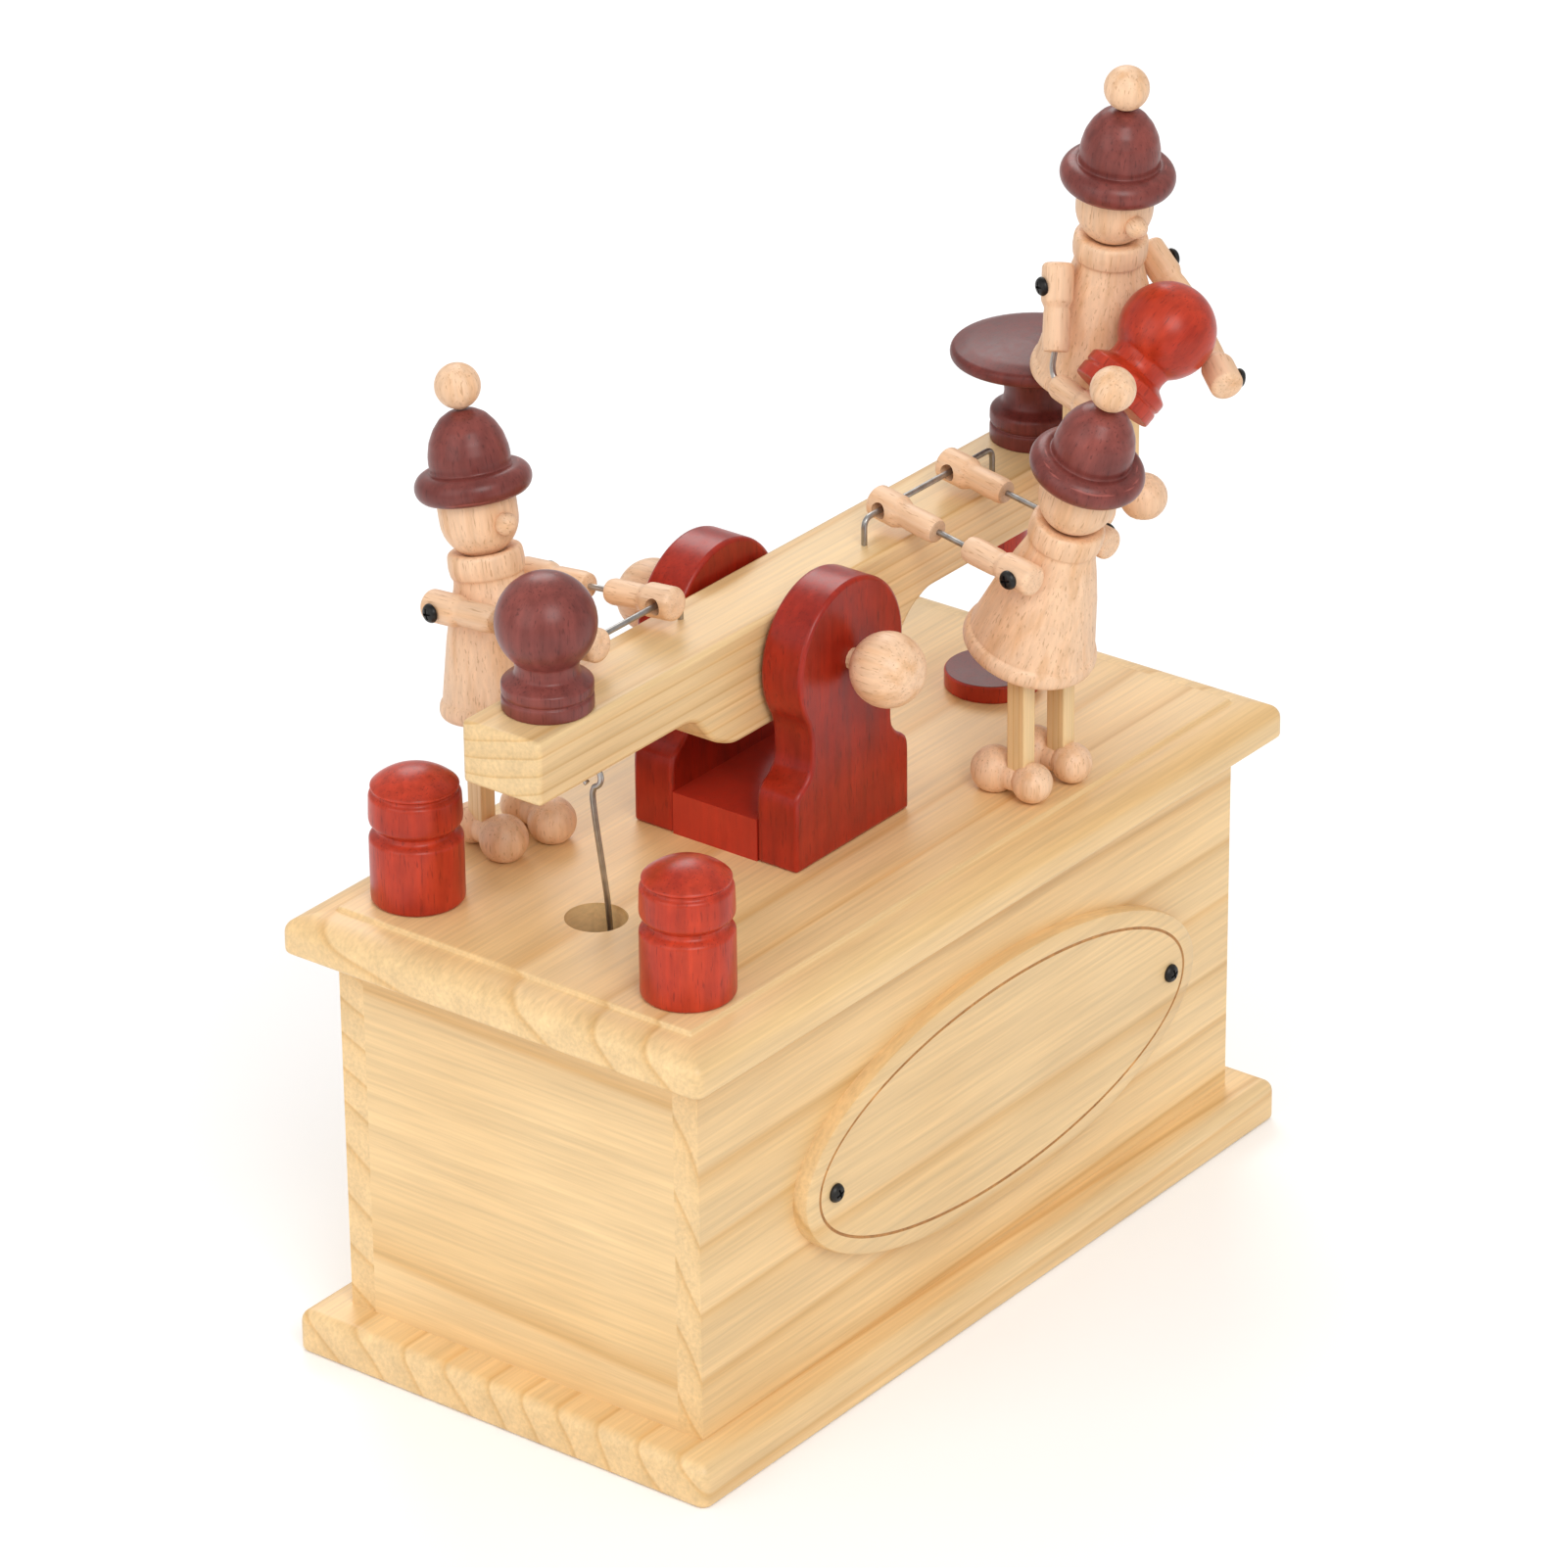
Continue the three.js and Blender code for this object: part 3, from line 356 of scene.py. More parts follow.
def pine(name, along=0, centre=(0.0, 0.21, -0.13), spacing=0.011, wander=0.05, tint=1.0):
    """Clear-lacquered pine: broad pale bands with narrow amber late wood, and fine fibres."""
    n = Nodes(name)
    place = n.add("ShaderNodeTexCoord").outputs["Object"]
    ring = growth_rings(n, place, along, centre, spacing, wander)
    early, late = rgb(0.93 * tint, 0.66 * tint, 0.34 * tint), rgb(0.80 * tint, 0.50 * tint, 0.205 * tint)
    middle_tone = rgb(0.90 * tint, 0.62 * tint, 0.30 * tint)
    stops = [(0.0, early), (0.40, early), (0.80, middle_tone), (0.93, late), (1.0, early)]
    bands = n.ramp(ring, stops)
    fine = [900.0, 900.0, 900.0]
    fine[along] = 26.0
    fibre = n.noise(n.stretched(place, fine), 1.0, 4.0)
    coarse = [160.0, 160.0, 160.0]
    coarse[along] = 5.0
    streak = n.noise(n.stretched(place, coarse), 1.0, 3.0)
    cloud = n.noise(place, 14.0, 2.0)
    fibre_tone = n.ramp(fibre, [(0.3, 0.86), (0.7, 1.05)])
    streak_tone = n.ramp(streak, [(0.3, 0.90), (0.7, 1.04)])
    cloud_tone = n.ramp(cloud, [(0.3, rgb(0.95, 0.91, 0.85)), (0.7, rgb(1.0, 1.0, 1.0))])
    colour = n.mix(1.0, bands, fibre_tone, "MULTIPLY")
    colour = n.mix(1.0, colour, streak_tone, "MULTIPLY")
    colour = n.mix(1.0, colour, cloud_tone, "MULTIPLY")
    n.put(n.shader.inputs["Base Color"], colour)
    gloss = n.math("ADD", n.math("MULTIPLY", fibre, 0.16), 0.36)
    n.put(n.shader.inputs["Roughness"], gloss)
    height = n.math("ADD", fibre, n.math("MULTIPLY", ring, -0.35))
    bump = n.add("ShaderNodeBump", {"Strength": 0.16, "Distance": 0.0003, "Height": height})
    n.put(n.shader.inputs["Normal"], bump.outputs[0])
    n.put(n.shader.inputs["Coat Weight"], 0.12)
    n.put(n.shader.inputs["Coat Roughness"], 0.28)
    return n.material


def beech(name, tint=1.0):
    """Turned beech: pinkish tan with short dark flecks along the grain."""
    n = Nodes(name)
    place = own_coordinates(n)
    fibre = n.noise(n.stretched(place, (700.0, 700.0, 60.0)), 1.0, 4.0)
    streak = n.noise(n.stretched(place, (240.0, 240.0, 14.0)), 1.0, 3.0)
    fleck = n.noise(n.stretched(place, (2100.0, 2100.0, 230.0)), 1.0, 2.0, 0.4)
    ring = growth_rings(n, place, 2, (0.03, 0.02, 0.0), 0.0032, 0.02)
    pale = rgb(0.90 * tint, 0.60 * tint, 0.385 * tint)
    tan = rgb(0.79 * tint, 0.465 * tint, 0.25 * tint)
    base = n.ramp(streak, [(0.3, tan), (0.52, pale), (1.0, pale)])
    base = n.mix(n.math("MULTIPLY", ring, 0.22), base, tan)
    tone = n.ramp(fibre, [(0.3, 0.88), (0.7, 1.06)])
    base = n.mix(1.0, base, tone, "MULTIPLY")
    mask = n.ramp(fleck, [(0.61, 0.0), (0.70, 0.5)])
    base = n.mix(mask, base, rgb(0.42 * tint, 0.20 * tint, 0.085 * tint))
    n.put(n.shader.inputs["Base Color"], base)
    n.put(n.shader.inputs["Roughness"], n.math("ADD", n.math("MULTIPLY", fibre, 0.2), 0.36))
    bump = n.add("ShaderNodeBump", {"Strength": 0.14, "Distance": 0.0002, "Height": fibre})
    n.put(n.shader.inputs["Normal"], bump.outputs[0])
    return n.material


def stained(name, deep, bright, rough=0.3):
    """Stained and waxed wood: the grain shows through, and edges are rubbed brighter."""
    n = Nodes(name)
    place = own_coordinates(n)
    grain = n.noise(n.stretched(place, (420.0, 420.0, 36.0)), 1.0, 4.0)
    cloud = n.noise(place, 70.0, 3.0)
    pore = n.noise(n.stretched(place, (1900.0, 1900.0, 240.0)), 1.0, 2.0, 0.4)
    base = n.ramp(cloud, [(0.3, deep), (0.72, bright)])
    base = n.mix(1.0, base, n.ramp(grain, [(0.3, 0.74), (0.7, 1.10)]), "MULTIPLY")
    base = n.mix(n.ramp(pore, [(0.6, 0.0), (0.7, 0.5)]), base, rgb(*[c * 0.35 for c in deep[:3]]))
    edge = n.add("ShaderNodeNewGeometry").outputs["Pointiness"]
    worn = n.ramp(edge, [(0.52, 0.0), (0.60, 0.45)])
    base = n.mix(worn, base, rgb(*[min(1.0, c * 1.7 + 0.02) for c in bright[:3]]))
    n.put(n.shader.inputs["Base Color"], base)
    n.put(n.shader.inputs["Roughness"], n.math("ADD", n.math("MULTIPLY", grain, 0.22), rough - 0.08))
    bump = n.add("ShaderNodeBump", {"Strength": 0.18, "Distance": 0.0002, "Height": grain})
    n.put(n.shader.inputs["Normal"], bump.outputs[0])
    n.put(n.shader.inputs["Specular IOR Level"], 0.3)
    n.put(n.shader.inputs["Coat Weight"], 0.1)
    n.put(n.shader.inputs["Coat Roughness"], 0.3)
    return n.material


def metal(name, dark, light, rough, metallic=1.0):
    """Drawn or turned metal with fine scratches and dull patches."""
    n = Nodes(name)
    place = own_coordinates(n)
    scratch = n.noise(n.stretched(place, (2400.0, 2400.0, 160.0)), 1.0, 3.0)
    patch = n.noise(place, 190.0, 3.0)
    n.put(n.shader.inputs["Base Color"], n.ramp(patch, [(0.35, dark), (0.7, light)]))
    n.put(n.shader.inputs["Metallic"], metallic)
    n.put(n.shader.inputs["Roughness"], n.math("ADD", n.math("MULTIPLY", scratch, 0.3), rough - 0.1))
    bump = n.add("ShaderNodeBump", {"Strength": 0.1, "Distance": 0.0001, "Height": scratch})
    n.put(n.shader.inputs["Normal"], bump.outputs[0])
    return n.material


PINE_LONG = pine("pine_long")
PINE_TOP = pine("pine_top", 0, (0.0, 0.10, 0.02), 0.016, 0.07, 1.02)
PINE_END = pine("pine_end", 1, (0.10, 0.0, 0.165), 0.014, 0.06)
PINE_BEAM = pine("pine_beam", 0, (0.0, 0.03, 0.27), 0.0048, 0.03, 0.95)
PINE_LEG = pine("pine_legs", 2, (0.02, 0.03, 0.0), 0.002, 0.02, 0.98)
PLAQUE_WOOD = pine("pine_plaque", 0, (0.0, 0.15, 0.02), 0.017, 0.06, 0.97)
BEECH = beech("beech_turned")
ROUGH_BEECH = beech("beech_end_grain", 0.72)
RED = stained("red_stain", rgb(0.40, 0.024, 0.008), rgb(0.60, 0.052, 0.016), 0.3)
DEEP_RED = stained("deep_red_stain", rgb(0.27, 0.010, 0.003), rgb(0.40, 0.022, 0.006), 0.3)
BROWN = stained("brown_stain", rgb(0.17, 0.036, 0.030), rgb(0.28, 0.066, 0.052), 0.32)
PLUM = stained("plum_stain", rgb(0.14, 0.024, 0.018), rgb(0.21, 0.038, 0.030), 0.38)
BURNT = stained("scorched_line", rgb(0.45, 0.20, 0.06), rgb(0.60, 0.30, 0.10), 0.5)
STEEL = metal("steel_wire", rgb(0.30, 0.285, 0.27), rgb(0.52, 0.50, 0.475), 0.34)
BLACK = metal("black_steel", rgb(0.012, 0.012, 0.012), rgb(0.04, 0.037, 0.034), 0.36, 0.6)
BRASS = metal("brass", rgb(0.48, 0.31, 0.10), rgb(0.70, 0.50, 0.20), 0.32)

# ------------------------------------------------------------------ the box

SCREW_HEAD = 2.6  # radius
SCREW_RISE = 1.8
HOLE_X = -84.0  # of the pull wire's hole in the top
HOLE_RADIUS = 8.25


def moulded_board(name, node, profile, corner, material):
    """A board whose edge follows a profile of [inset, height from its underside]."""
    size = high(node) - low(node)
    base = low(node).z
    rings = []
    for inset, height in rounded(profile, 0.5, 3):
        length, width = size.x - 2 * inset, size.y - 2 * inset
        rings.append(rounded_rectangle(length, width, max(corner - inset, 0.6), base + height))
    return loops(name, rings, material, 25)


def edge_arc(start_inset, start_height, run, rise, steps=8):
    """A quarter-round from the board's upright edge over on to its top."""
    points = []
    for i in range(steps + 1):
        angle = math.pi / 2 * i / steps
        points.append((start_inset + run * (1 - math.cos(angle)), start_height + rise * math.sin(angle)))
    return points


def make_boards():
    thick = high("base_board").z - low("base_board").z
    profile = [(0.8, 0), (0, 0.8), *edge_arc(0, thick - 3.5, 3.5, 3.5), (7, thick)]
    base = moulded_board("base_board_moulded", "base_board", profile, 3, PINE_LONG)
    settle(base, "box", nodes=("base_board",))

    thick = high("top_board").z - low("top_board").z
    step = [(9.6, thick - 1.25), (10.4, thick - 1.2), (10.6, thick - 0.2), (11.2, thick), (18, thick)]
    profile = [(0.6, 0), (0, 0.6), *edge_arc(0, thick - 6.2, 9.2, 4.9), *step]
    top = moulded_board("top_board_moulded", "top_board", profile, 3, PINE_TOP)
    cutter = turned("hole_cutter", [(0, -30), (HOLE_RADIUS, -30), (HOLE_RADIUS, 30), (0, 30)], PINE_TOP, 48, 0)
    cutter.matrix_world = Matrix.Translation(Vector((HOLE_X, 0, low("top_board").z)) * MM)
    settle(bored(top, cutter), "box", nodes=("top_board",))
    for name, wood in (("front_panel", PINE_LONG), ("back_panel", PINE_LONG), ("left_panel", PINE_END),
                       ("right_panel", PINE_END)):
        node = frame["nodes"][name]
        node.data.materials.clear()
        node.data.materials.append(wood)
        eased(node, 0.35, 2)


def make_plaque():
    centre = middle("plaque")
    half = (high("plaque") - low("plaque")) / 2
    back, front = high("plaque").y, low("plaque").y
    line = 5.6  # from the plaque's edge to its engraved line
    groove = [(line - 0.45, 0), (line - 0.15, 0.22), (line + 0.15, 0.22), (line + 0.45, 0)]
    profile = [(0, 4.5), (0, 1.3), (0.35, 0.4), (1.2, 0)] + groove + [(line + 4, 0), (line + 18, 0)]
    sides = 160
    rings = []
    for inset, depth in profile:
        ring = []
        for i in range(sides):
            angle = 2 * math.pi * i / sides
            across, up = (half.x - inset) * math.cos(angle), (half.z - inset) * math.sin(angle)
            ring.append((centre.x + across, min(front + depth, back), centre.z + up))
        rings.append(ring)
    plaque = loops("plaque_carved", rings, PLAQUE_WOOD, 30)
    plaque.data.materials.append(BURNT)
    for face in plaque.data.polygons:
        reach = Vector(face.center) / MM - centre
        round_out = math.hypot(reach.x / (half.x - line), reach.z / (half.z - line))
        if 0.985 < round_out < 1.015 and len(face.vertices) == 4:
            face.material_index = 1
    settle(plaque, "box", nodes=("plaque",))
    for side in ("left", "right"):
        node = f"plaque_screw_{side}"
        place = basis((middle(node).x, front, middle(node).z), X, -Y)
        settle(screw_head(f"{node}_head"), "box", place, (node,))


def screw_head(name):
    """A pan head with a cross recess. Its seat is at z = 0."""
    r, h = SCREW_HEAD, SCREW_RISE
    profile = [(0, -1), (1.3, -1), (1.3, 0), (r, 0), (r, h * 0.35), (r * 0.8, h * 0.8), (r * 0.4, h), (0, h)]
    head = turned(name, profile, BLACK, 32, 0.35)
    for turn in (0.3, 0.3 + math.pi / 2):
        cutter = bar("recess_cutter", (3.0, 0.62, 1.8), BLACK, 0)
        cutter.modifiers.clear()
        cutter.matrix_world = Matrix.Rotation(turn, 4, "Z") @ Matrix.Translation((0, 0, (h + 0.15) * MM))
        head = bored(head, cutter)
    return head


# ------------------------------------------------------------------ posts, knobs, cradle, beam


def make_turnings():
    post = [(0, 0), (11.6, 0), (12.25, 0.8), (12.25, 18.2), (10.2, 19.6), (10.0, 20.8), (12.0, 22.3), (12.2, 23.5),
            (12.0, 30.2), (10.9, 31.0), (10.9, 31.8), *arc((0, 20.6), 16.6, 45, 90, 8)]
    for side in ("front", "back"):
        node = f"binding_post_{side}"
        place = basis((middle(node).x, middle(node).y, low(node).z), X, Z)
        settle(turned(f"{node}_turned", post, RED, 64, 0.8), "box", place, (node,))

    node = "anvil_disc"
    profile = [(0, 0), (13, 0), (13.25, 0.4), (13.25, 4.5), (12.7, 5), (0, 5)]
    rim = turned("anvil_disc_turned", profile, RED, 64, 0.3)
    rim.data.materials.append(PLUM)
    for face in rim.data.polygons:
        face.material_index = int(face.center.z > 4.85 * MM)
    place = basis((middle(node).x, middle(node).y, low(node).z), X, Z)
    settle(rim, "box", place, (node,))

    node = "striker"
    place = basis((middle(node).x, middle(node).y, low(node).z), X, Z)
    piece = turned("striker_turned", [(0, 0), (7.5, 0), (9.5, 1.8), (9.5, 11), (0, 11)], RED, 56, 1.2)
    settle(piece, "beam_assembly", place, (node,))

    node = "mushroom_knob"
    cap = [(19, 22.6), (22.6, 23.6), (23, 25.2), (22.4, 26.8), (18, 28.3), (11, 29.3), (5, 29.8), (0, 29.9)]
    stem = [(0, 0), (12, 0), (12.2, 0.5), (12.2, 4.2), (11.6, 4.6), (11.6, 5.0), (12.2, 5.4), (12.1, 8.8), (8.9, 10.6),
            (8.2, 13.4), (8.6, 17.6), (11.2, 20.6)]
    place = basis((middle(node).x, middle(node).y, low(node).z), X, Z)
    piece = turned("mushroom_knob_turned", stem + cap, PLUM, 80, 1.0)
    settle(piece, "beam_assembly", place, (node,))

    node = "ball_knob"
    place = basis((middle(node).x, middle(node).y, low(node).z), X, Z)
    piece = turned("ball_knob_turned", knob_profile(), BROWN, 72, 0.6)
    settle(piece, "beam_assembly", place, (node,))

    for side in ("front", "back"):
        node = f"axle_ball_{side}"
        place = basis(middle(node), X, Y)
        profile = [(0, -9.7), *arc((0, 0), 10, -75, 75, 24), (0, 9.7)]
        settle(turned(f"{node}_turned", profile, BEECH, 64, 0.3), "box", place, (node,))
    axle = frame["nodes"]["axle"]
    axle.data.materials.clear()
    axle.data.materials.append(BEECH)
    smooth(axle.data)


def knob_profile():
    base = [(0, 0), (11.5, 0), (11.75, 0.4), (11.75, 3.5), (11.3, 3.9), (11.3, 4.3), (11.75, 4.7), (11.75, 7.2)]
    return base + [(8.4, 9.4), (8.1, 11), *arc((0, KNOB_BALL_HEIGHT), 13, -50, 90, 26)]


def make_cradle():
    node = "cradle_cheek_front"
    centre_x, base = middle(node).x, low(node).z
    half = (high(node).x - low(node).x) / 2
    pivot = JOINTS["beam_rock"]["pos_m"][2] / MM
    head = high(node).z - pivot
    spread = 33  # degrees below level at which the round head ends
    turn = math.radians(spread)
    neck = (head * math.cos(turn), pivot - head * math.sin(turn))
    side = [(half, base), (half, base + 19.5), (half - 1.2, base + 22), (half - 5, base + 24.2)]
    side += [(half - 7.4, base + 27.5), (neck[0] - 1.4, neck[1] - 4), neck]
    side = [tuple(p) for p in rounded(side, 3.4, 6)]
    round_head = arc((0, pivot), head, -spread, 180 + spread, 56)[1:-1]
    outline = side + round_head + [(-x, z) for x, z in reversed(side)]
    outline = [(centre_x + x, z) for x, z in outline]
    for name in ("front", "back"):
        node = f"cradle_cheek_{name}"
        cheek = slab(f"{node}_sawn", outline, low(node).y, high(node).y, DEEP_RED, 1.1)
        settle(cheek, "box", nodes=(node,))
    floor = frame["nodes"]["cradle_floor"]
    floor.data.materials.clear()
    floor.data.materials.append(DEEP_RED)
    eased(floor, 0.5)


def make_beam():
    lo, hi = low("beam"), high("beam")
    top, under, belly = hi.z, hi.z - 17.4, lo.z
    pivot_x = JOINTS["beam_rock"]["pos_m"][0] / MM
    at = lambda x: pivot_x + x
    below = [(lo.x, under), (at(-49.5), under), (at(-45.5), under - 2), (at(-39.5), under - 9.5), (at(-31.5), belly)]
    below += [(at(30.5), belly), (at(40), belly + 4.2), (at(44.5), belly + 9.5), (at(52), under), (hi.x, under)]
    outline = [tuple(p) for p in rounded(below, 3.2, 6)] + [(hi.x, top), (lo.x, top)]
    beam = slab("beam_sawn", outline, lo.y, hi.y, PINE_BEAM, 1.3)
    settle(beam, "beam_assembly", nodes=("beam",))
    for side in ("left", "right"):
        node = f"handle_wire_{side}"
        a, b = low(node), high(node)
        y, level = (a.y + b.y) / 2, b.z - WIRE
        corners = [(a.x + WIRE, y, a.z), (a.x + WIRE, y, level), (b.x - WIRE, y, level), (b.x - WIRE, y, a.z)]
        bent = rod(f"{node}_bent", rounded(corners, 3, 8), WIRE, STEEL)
        settle(bent, "beam_assembly", nodes=(node,))


def ring_path(centre, radius, u, v, start=0, end=360, steps=28):
    path = []
    for i in range(steps + 1):
        angle = math.radians(start + (end - start) * i / steps)
        path.append(Vector(centre) + (Vector(u) * math.cos(angle) + Vector(v) * math.sin(angle)) * radius)
    return path


def make_pull_wire():
    eye_radius = 3
    hook = Vector(JOINTS["pull_wire_pivot"]["pos_m"]) / MM
    node = "screw_eye"
    eye_centre = Vector((middle(node).x, 0, low(node).z + eye_radius + WIRE))
    stem = [eye_centre + Z * (eye_radius + 1.2), Vector((eye_centre.x, 0, high(node).z))]
    path = ring_path(eye_centre, eye_radius, X, Z, 130, 450) + stem
    settle(rod("screw_eye_bent", path, WIRE, STEEL), "beam_assembly", nodes=(node,))

    node = "pull_wire"
    foot = Vector((high(node).x - eye_radius - WIRE, 0, low(node).z + eye_radius + WIRE))
    loop = ring_path(hook, eye_radius, Y, Z, -60, 255)
    joint = [hook - Z * (eye_radius + 2.0), Vector((hook.x + 0.9, 0, hook.z - 12))]
    way = [Vector((HOLE_X + 4.6, 0, 134)), Vector((HOLE_X + 6.2, 0, 118)), foot + Z * (eye_radius + 2)]
    lower = ring_path(foot, eye_radius, X, Z, 90, 430)
    wire = rod("pull_wire_bent", rounded(loop + joint + way, 3, 4), WIRE, STEEL)
    settle(wire, "pull_wire", nodes=(node,))
    settle(rod("pull_wire_eye", lower, WIRE, STEEL), "pull_wire")


# ------------------------------------------------------------------ figures

TORSO = [(0, 19.5), (10.9, 19.5), (15, 0.6), (15.6, 0), (16.8, 0), (17.9, 1.1), (18.1, 2.6), (17.6, 4.4), (16.7, 5.3),
         (16.7, 5.9), (15.1, 13), (13.3, 21), (11.2, 28.5), (9.6, 33.4), (9.15, 35.4), (9.2, 36.4), (9.7, 37.0),
         (10.0, 39.5), (9.8, 42.4), (9.2, 43.2), (7.6, 43.2), (5, 42.2), (2.5, 41.35), (0, 41.0)]
HAT_PROFILE = [(0, 57.5), (12.2, 57.5), *arc((11.4, 61), 3.9, -60, 100, 16), (10.5, 65.5), (10.7, 67.0), (10.5, 69.5),
               (9.7, 72.8), (8.2, 75.8), (6.1, 78.4), (3.6, 79.9), (2.4, 80.2), (0, 80.2)]
HEAD_PROFILE = [(0, 41.25), *arc((0, 51.5), 10.25, -82, 0, 18), (10.3, 54.5), (10.25, 57.3), (0, 57.3)]
NOSE = [(0, 0), (2.1, 0), (2.3, 3), (2.6, 4.2), *arc((0, 6.2), 3, -40, 90, 12)]
POMPON = [(0, 80.5), (1.6, 80.5), *arc((0, 86.5), 6, -72, 80, 18), (0, 92.45)]
FOOT_HEEL = 4.0  # of the foot's big ball behind the leg
FOOT_RISE = 5.2  # of its axis above the ground


def peg(name, profile):
    return turned(name, profile, BEECH, 36, 0.6)


def upper_arm(name):
    """From the shoulder pivot towards +Z."""
    return peg(name, [(0, -5.4), (3.4, -5.4), (4.3, -4.4), (4.3, 4.6), (3.7, 5.8), (3.35, 6.6), (3.6, 8), (3.7, 15.5),
                      (3.3, 18), (0, 18)])


def hand(name, hole_axis=None):
    """From the middle of its hole towards the wrist, +Z."""
    piece = peg(name, [(0, -4.6), (3.4, -4.6), (4.5, -3.7), (4.5, 4.2), (3.8, 5.6), (3.35, 6.6), (3.45, 10), (3.5, 16.4),
                       (3.0, 18), (0, 18)])
    if hole_axis is not None:
        cutter = turned("hole_cutter", [(0, -9), (2.3, -9), (2.3, 9), (0, 9)], BEECH, 32, 0)
        cutter.matrix_world = basis((0, 0, 0), Z, hole_axis)
        piece = bored(piece, cutter)
    piece.data.materials.append(ROUGH_BEECH)
    for face in piece.data.polygons:
        if face.center.z > 17.6 * MM:
            face.material_index = 1
    return piece


def make_legs(prefix, body, hip, side):
    """Two square legs on feet turned like dumb-bells. side is the figure's own +X."""
    forward = side.cross(Z)
    for i, sign in enumerate((-1, 1)):
        name = f"{prefix}_{('right', 'left')[i]}"
        foot_z = -LEG_LENGTH
        top = hip + side * sign * 8
        centre = top + Z * ((foot_z + 3 + 2.3) / 2)
        leg = bar(f"{name}_leg", (4.6, 6, 2.3 - foot_z - 3), PINE_LEG, 0.45)
        settle(leg, body, basis(centre, side, Z))
        foot = foot_shape(f"{name}_foot")
        place = basis(top + Z * foot_z, side, Z)
        settle(foot, body, place)
        if i == 0:
            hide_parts(f"{prefix}_legs")
    pin = turned(f"{prefix}_hip_pin", [(0, -13.6), (1.4, -13.6), (1.4, 13.6), (0, 13.6)], STEEL, 20, 0.2)
    settle(pin, body, basis(hip, forward, side))


def foot_shape(name):
    """A dumb-bell turning laid along the foot, flat underneath, with the leg's middle above z = 0."""
    profile = [(0, 5.4), *[(r, z) for r, z in reversed(arc((0, 0), 5.5, -48, 80, 14))], (3.9, -4.6)]
    profile += [(r, z) for r, z in reversed(arc((0, -13), 6.5, -80, 52, 14))] + [(0, -19.4)]
    foot = turned(name, profile, BEECH, 44, 0.8)
    foot.data.transform(Matrix.Rotation(-math.pi / 2, 4, "X"))
    foot.data.transform(Matrix.Translation(Vector((0, FOOT_HEEL, FOOT_RISE)) * MM))
    for vertex in foot.data.vertices:
        vertex.co.z = max(vertex.co.z, 0)
    return foot


def make_body(prefix, body, hip, side, lean):
    """Torso, head, nose, hat and pompon. Returns the place of the hem."""
    forward = side.cross(Z)
    upright = Quaternion(side, math.radians(lean)) @ Z
    if upright.dot(forward) * lean < 0:
        upright = Quaternion(side, -math.radians(lean)) @ Z
    place = basis(hip - upright * HIP_HEIGHT, side, upright)
    settle(turned(f"{prefix}_torso_turned", TORSO, BEECH, 72, 0.7), body, place, (f"{prefix}_torso",))
    settle(turned(f"{prefix}_head_turned", HEAD_PROFILE, BEECH, 64, 0.4), body, place, (f"{prefix}_head",))
    settle(turned(f"{prefix}_hat_turned", HAT_PROFILE, BROWN, 72, 0.7), body, place,
           (f"{prefix}_hat",))
    settle(turned(f"{prefix}_pompon_turned", POMPON, BEECH, 44, 0.3), body, place, (f"{prefix}_pompon",))
    nose_place = basis(place @ (Vector((0, 0, 51)) * MM) / MM + forward_of(place) * 5.2, side, forward_of(place))
    settle(turned(f"{prefix}_nose", NOSE, BEECH, 32, 0.4), body, nose_place)
    return place


def forward_of(place):
    """The way a figure faces: its own -Y."""
    return -(place.to_3x3() @ Y)


def shoulder_screws(prefix, body_of_side, place):
    for i, sign in enumerate((-1, 1)):
        name = f"{prefix}_{('right', 'left')[i]}_shoulder_screw"
        spot = place @ (Vector((sign * (SHOULDER_SIDE + 4.3), 0, SHOULDER_HEIGHT)) * MM) / MM
        outward = (place.to_3x3() @ X) * sign
        settle(screw_head(name), body_of_side[i], basis(spot, Z, outward))


def link(name, body, start, end):
    settle(rod(name, [start, (start + end) / 2, end], WIRE, STEEL), body)


def make_worker(prefix):
    joint = JOINTS[f"{prefix}_sway"]
    side = Vector(joint["axis"])
    if prefix == "right_worker":
        side = -side
    hip = Vector(joint["pos_m"]) / MM
    body = f"{prefix}_body"
    place = make_body(prefix, body, hip, side, LEANS[prefix])
    make_legs(prefix, "box", hip, side)
    wire = f"handle_wire_{prefix.split('_')[0]}"
    limbs = [f"{prefix}_{which}_limb" for which in ("right", "left")]
    for i, which in enumerate(("right", "left")):
        shoulder = place @ (Vector(((2 * i - 1) * SHOULDER_SIDE, 0, SHOULDER_HEIGHT)) * MM) / MM
        grip = Vector((HANDS[prefix][i], middle(wire).y, high(wire).z - WIRE))
        reach = (grip - shoulder).normalized()
        name = f"{prefix}_{which}"
        settle(upper_arm(f"{name}_arm_turned"), limbs[i], basis(shoulder, side, reach), (f"{name}_arm",))
        hand_place = basis(grip, side, -reach)
        hole = hand_place.to_3x3().inverted() @ X
        settle(hand(f"{name}_hand_turned", hole), limbs[i], hand_place, (f"{name}_hand",))
        link(f"{name}_link_wire", limbs[i], shoulder + reach * (ARM_LENGTH - 2), grip - reach * (HAND_LENGTH - 3))
    shoulder_screws(prefix, limbs, place)


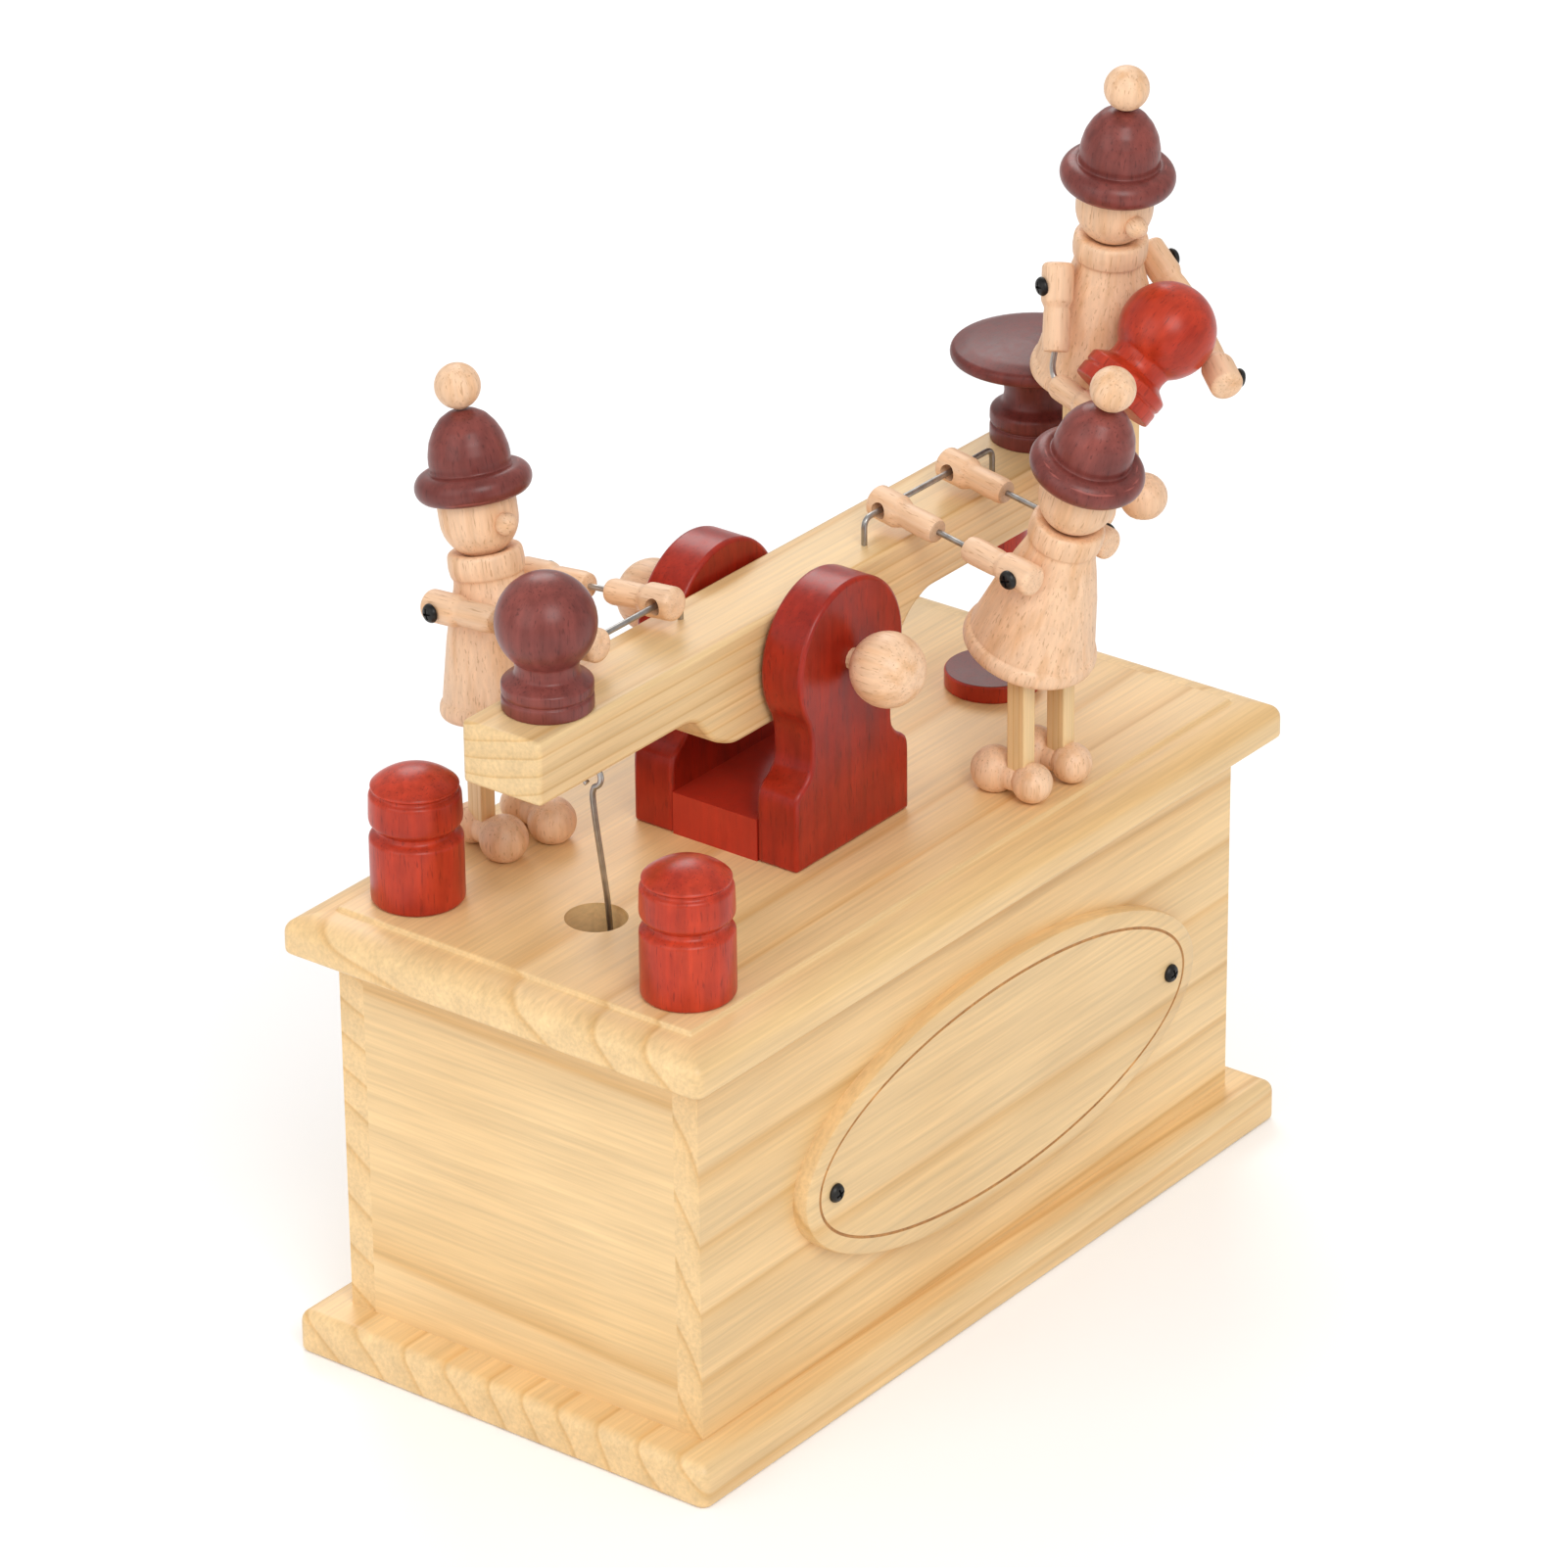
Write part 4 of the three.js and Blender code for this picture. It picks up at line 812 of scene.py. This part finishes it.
def make_sitter():
    joint = JOINTS["mallet_swing"]
    side = -Vector(joint["axis"])
    forward = side.cross(Z)
    lean = math.radians(LEANS["sitter"])
    upright = forward * math.sin(lean) + Z * math.cos(lean)
    hip = Vector(joint["pos_m"]) / MM - upright * (SHOULDER_HEIGHT - HIP_HEIGHT)
    place = make_body("sitter", "beam_assembly", hip, side, LEANS["sitter"])
    make_legs("sitter", "beam_assembly", hip, side)
    at = lambda across, ahead, rise: hip + side * across + forward * ahead + Z * rise
    shoulders = [place @ (Vector((s * SHOULDER_SIDE, 0, SHOULDER_HEIGHT)) * MM) / MM for s in (-1, 1)]
    arms = {
        "right": (shoulders[0], at(-19.4, 9, 1), at(-19.7, 8, -6), at(-19.3, 10.5, -8.8), at(-18.2, 27.5, -10)),
        "left": (shoulders[1], at(18, 15, 7), at(18.4, 19, 3), at(18, 22, 0.5), at(15.2, 36, -4)),
    }
    for which, (shoulder, elbow, bend, wrist, tip) in arms.items():
        name = f"sitter_{which}"
        way = (elbow - shoulder).normalized()
        settle(upper_arm(f"{name}_arm_turned"), "mallet_arms", basis(shoulder, side, way), (f"{name}_arm",))
        way_points = [shoulder + way * (ARM_LENGTH - 2), bend + (bend - wrist) * 0.2, wrist, wrist.lerp(tip, 0.2)]
        path = rounded(way_points, 3, 6)
        settle(rod(f"{name}_link_wire", path, WIRE, STEEL), "mallet_arms")
        back = (wrist - tip).normalized()
        settle(hand(f"{name}_hand_turned"), "mallet_arms", basis(tip, side, back))
    tip = arms["left"][4]
    outward = (side + forward * 0.25 - Z * 0.2).normalized()
    settle(screw_head("sitter_left_hand_screw"), "mallet_arms", basis(tip + outward * 4.3, Z, outward))
    shoulder_screws("sitter", ["mallet_arms", "mallet_arms"], place)

    tilt = Matrix.Rotation(math.radians(48), 3, "Y")
    facing = Matrix((side, -forward, Z)).transposed()
    axis = facing @ (Matrix.Rotation(math.radians(-2), 3, "X") @ tilt) @ Z
    mallet = turned("mallet_turned", [(r, z - KNOB_BALL_HEIGHT) for r, z in knob_profile()], RED, 72, 0.6)
    settle(mallet, "mallet_arms", basis(at(3, 28, 8.7), side, axis), ("mallet",))


# ------------------------------------------------------------------ music movement


def make_movement():
    looks = {"movement_bedplate": BRASS, "music_cylinder": BRASS, "governor": BRASS, "comb": STEEL,
             "spring_barrel": STEEL, "crank_disc": BEECH}
    for name, look in looks.items():
        node = frame["nodes"][name]
        node.data.materials.clear()
        node.data.materials.append(look)
        eased(node, 0.25, 2)
    node = "winding_key"
    centre, inner, outer = middle(node), low(node).y, high(node).y
    stem_end = outer - 6
    stem = [(0, 0), (2.5, 0), (2.5, stem_end - inner - 7), (3.3, stem_end - inner - 6),
            (3.3, stem_end - inner), (0, stem_end - inner)]
    place = basis((centre.x, inner, centre.z), X, Y)
    settle(turned("winding_key_stem", stem, BRASS, 40, 0.4), "winding_key", place, (node,))
    for sign in (-1, 1):
        bow = Vector((centre.x + sign * 7.2, stem_end + 0.5, centre.z))
        path = []
        for i in range(36):
            angle = 2 * math.pi * i / 36
            path.append(bow + X * 5.0 * math.cos(angle) + Y * 5.4 * math.sin(angle))
        ring = rod(f"winding_key_bow_{'a' if sign < 0 else 'b'}", path, 1.3, BRASS, 12, True)
        settle(ring, "winding_key")


# ------------------------------------------------------------------ stage, light and camera

TARGET = Vector((-5.12, 0, 136.57)) * MM
AZIMUTH, ELEVATION, ROLL = math.radians(-52.32), math.radians(26.25), math.radians(-0.62)
DISTANCE = 1.9274
SENSOR = 36.0
FOCAL = 168.8


def make_camera():
    data = bpy.data.cameras.new("camera")
    data.lens, data.sensor_width, data.clip_end = FOCAL, SENSOR, 20
    camera = bpy.data.objects.new("camera", data)
    bpy.context.scene.collection.objects.link(camera)
    level = math.cos(ELEVATION)
    back = Vector((math.sin(AZIMUTH) * level, -math.cos(AZIMUTH) * level, math.sin(ELEVATION)))
    right = Vector((math.cos(AZIMUTH), math.sin(AZIMUTH), 0))
    up = back.cross(right)
    across = right * math.cos(ROLL) + up * math.sin(ROLL)
    over = -right * math.sin(ROLL) + up * math.cos(ROLL)
    turn = Matrix((across, over, back)).transposed().to_4x4()
    camera.matrix_world = Matrix.Translation(TARGET + back * DISTANCE) @ turn
    bpy.context.scene.camera = camera


def make_floor():
    ring = [(-3000, -3000, -0.2), (3000, -3000, -0.2), (3000, 3000, -0.2), (-3000, 3000, -0.2)]
    n = Nodes("floor_white")
    n.put(n.shader.inputs["Base Color"], rgb(0.9, 0.9, 0.9))
    n.put(n.shader.inputs["Roughness"], 0.9)
    path = n.add("ShaderNodeLightPath")
    seen = n.math("MAXIMUM", path.outputs["Is Camera Ray"], path.outputs["Is Glossy Ray"])
    glow = n.add("ShaderNodeEmission", {"Color": rgb(1, 1, 1), "Strength": 0.16})
    mixed = n.add("ShaderNodeAddShader")
    soft = n.add("ShaderNodeMixShader", {0: seen, 1: n.shader.outputs[0]})
    n.put(mixed.inputs[0], n.shader.outputs[0])
    n.put(mixed.inputs[1], glow.outputs[0])
    n.put(soft.inputs[2], mixed.outputs[0])
    n.put(n.tree.nodes["Material Output"].inputs["Surface"], soft.outputs[0])
    floor = shown("floor", mesh_of("floor", ring, [[0, 1, 2, 3]]), n.material)


def make_light():
    world = bpy.data.worlds.new("studio")
    bpy.context.scene.world = world
    world.use_nodes = True
    tree = world.node_tree
    path = tree.nodes.new("ShaderNodeLightPath")
    strength = tree.nodes.new("ShaderNodeMix")
    strength.inputs[2].default_value = 0.62
    strength.inputs[3].default_value = 1.0
    tree.links.new(path.outputs["Is Camera Ray"], strength.inputs[0])
    tree.nodes["Background"].inputs["Color"].default_value = rgb(1, 1, 1)
    tree.links.new(strength.outputs[0], tree.nodes["Background"].inputs["Strength"])
    lamps = (
        ("key", (-0.9, -1.3, 1.5), 1.0, 17.0),
        ("fill", (-1.7, 0.3, 1.0), 1.4, 7.5),
        ("rim", (1.2, 1.2, 1.6), 1.0, 13.0),
    )
    for name, place, size, power in lamps:
        data = bpy.data.lights.new(name, "AREA")
        data.energy, data.size = power, size
        lamp = bpy.data.objects.new(name, data)
        lamp.location = place
        lamp.rotation_euler = (Vector((0, 0, 0.15)) - Vector(place)).to_track_quat("-Z", "Y").to_euler()
        bpy.context.scene.collection.objects.link(lamp)


make_camera()
make_floor()
make_light()
make_boards()
make_plaque()
make_turnings()
make_cradle()
make_beam()
make_pull_wire()
make_worker("left_worker")
make_worker("right_worker")
make_sitter()
make_movement()

bpy.context.scene.view_settings.view_transform = "Standard"
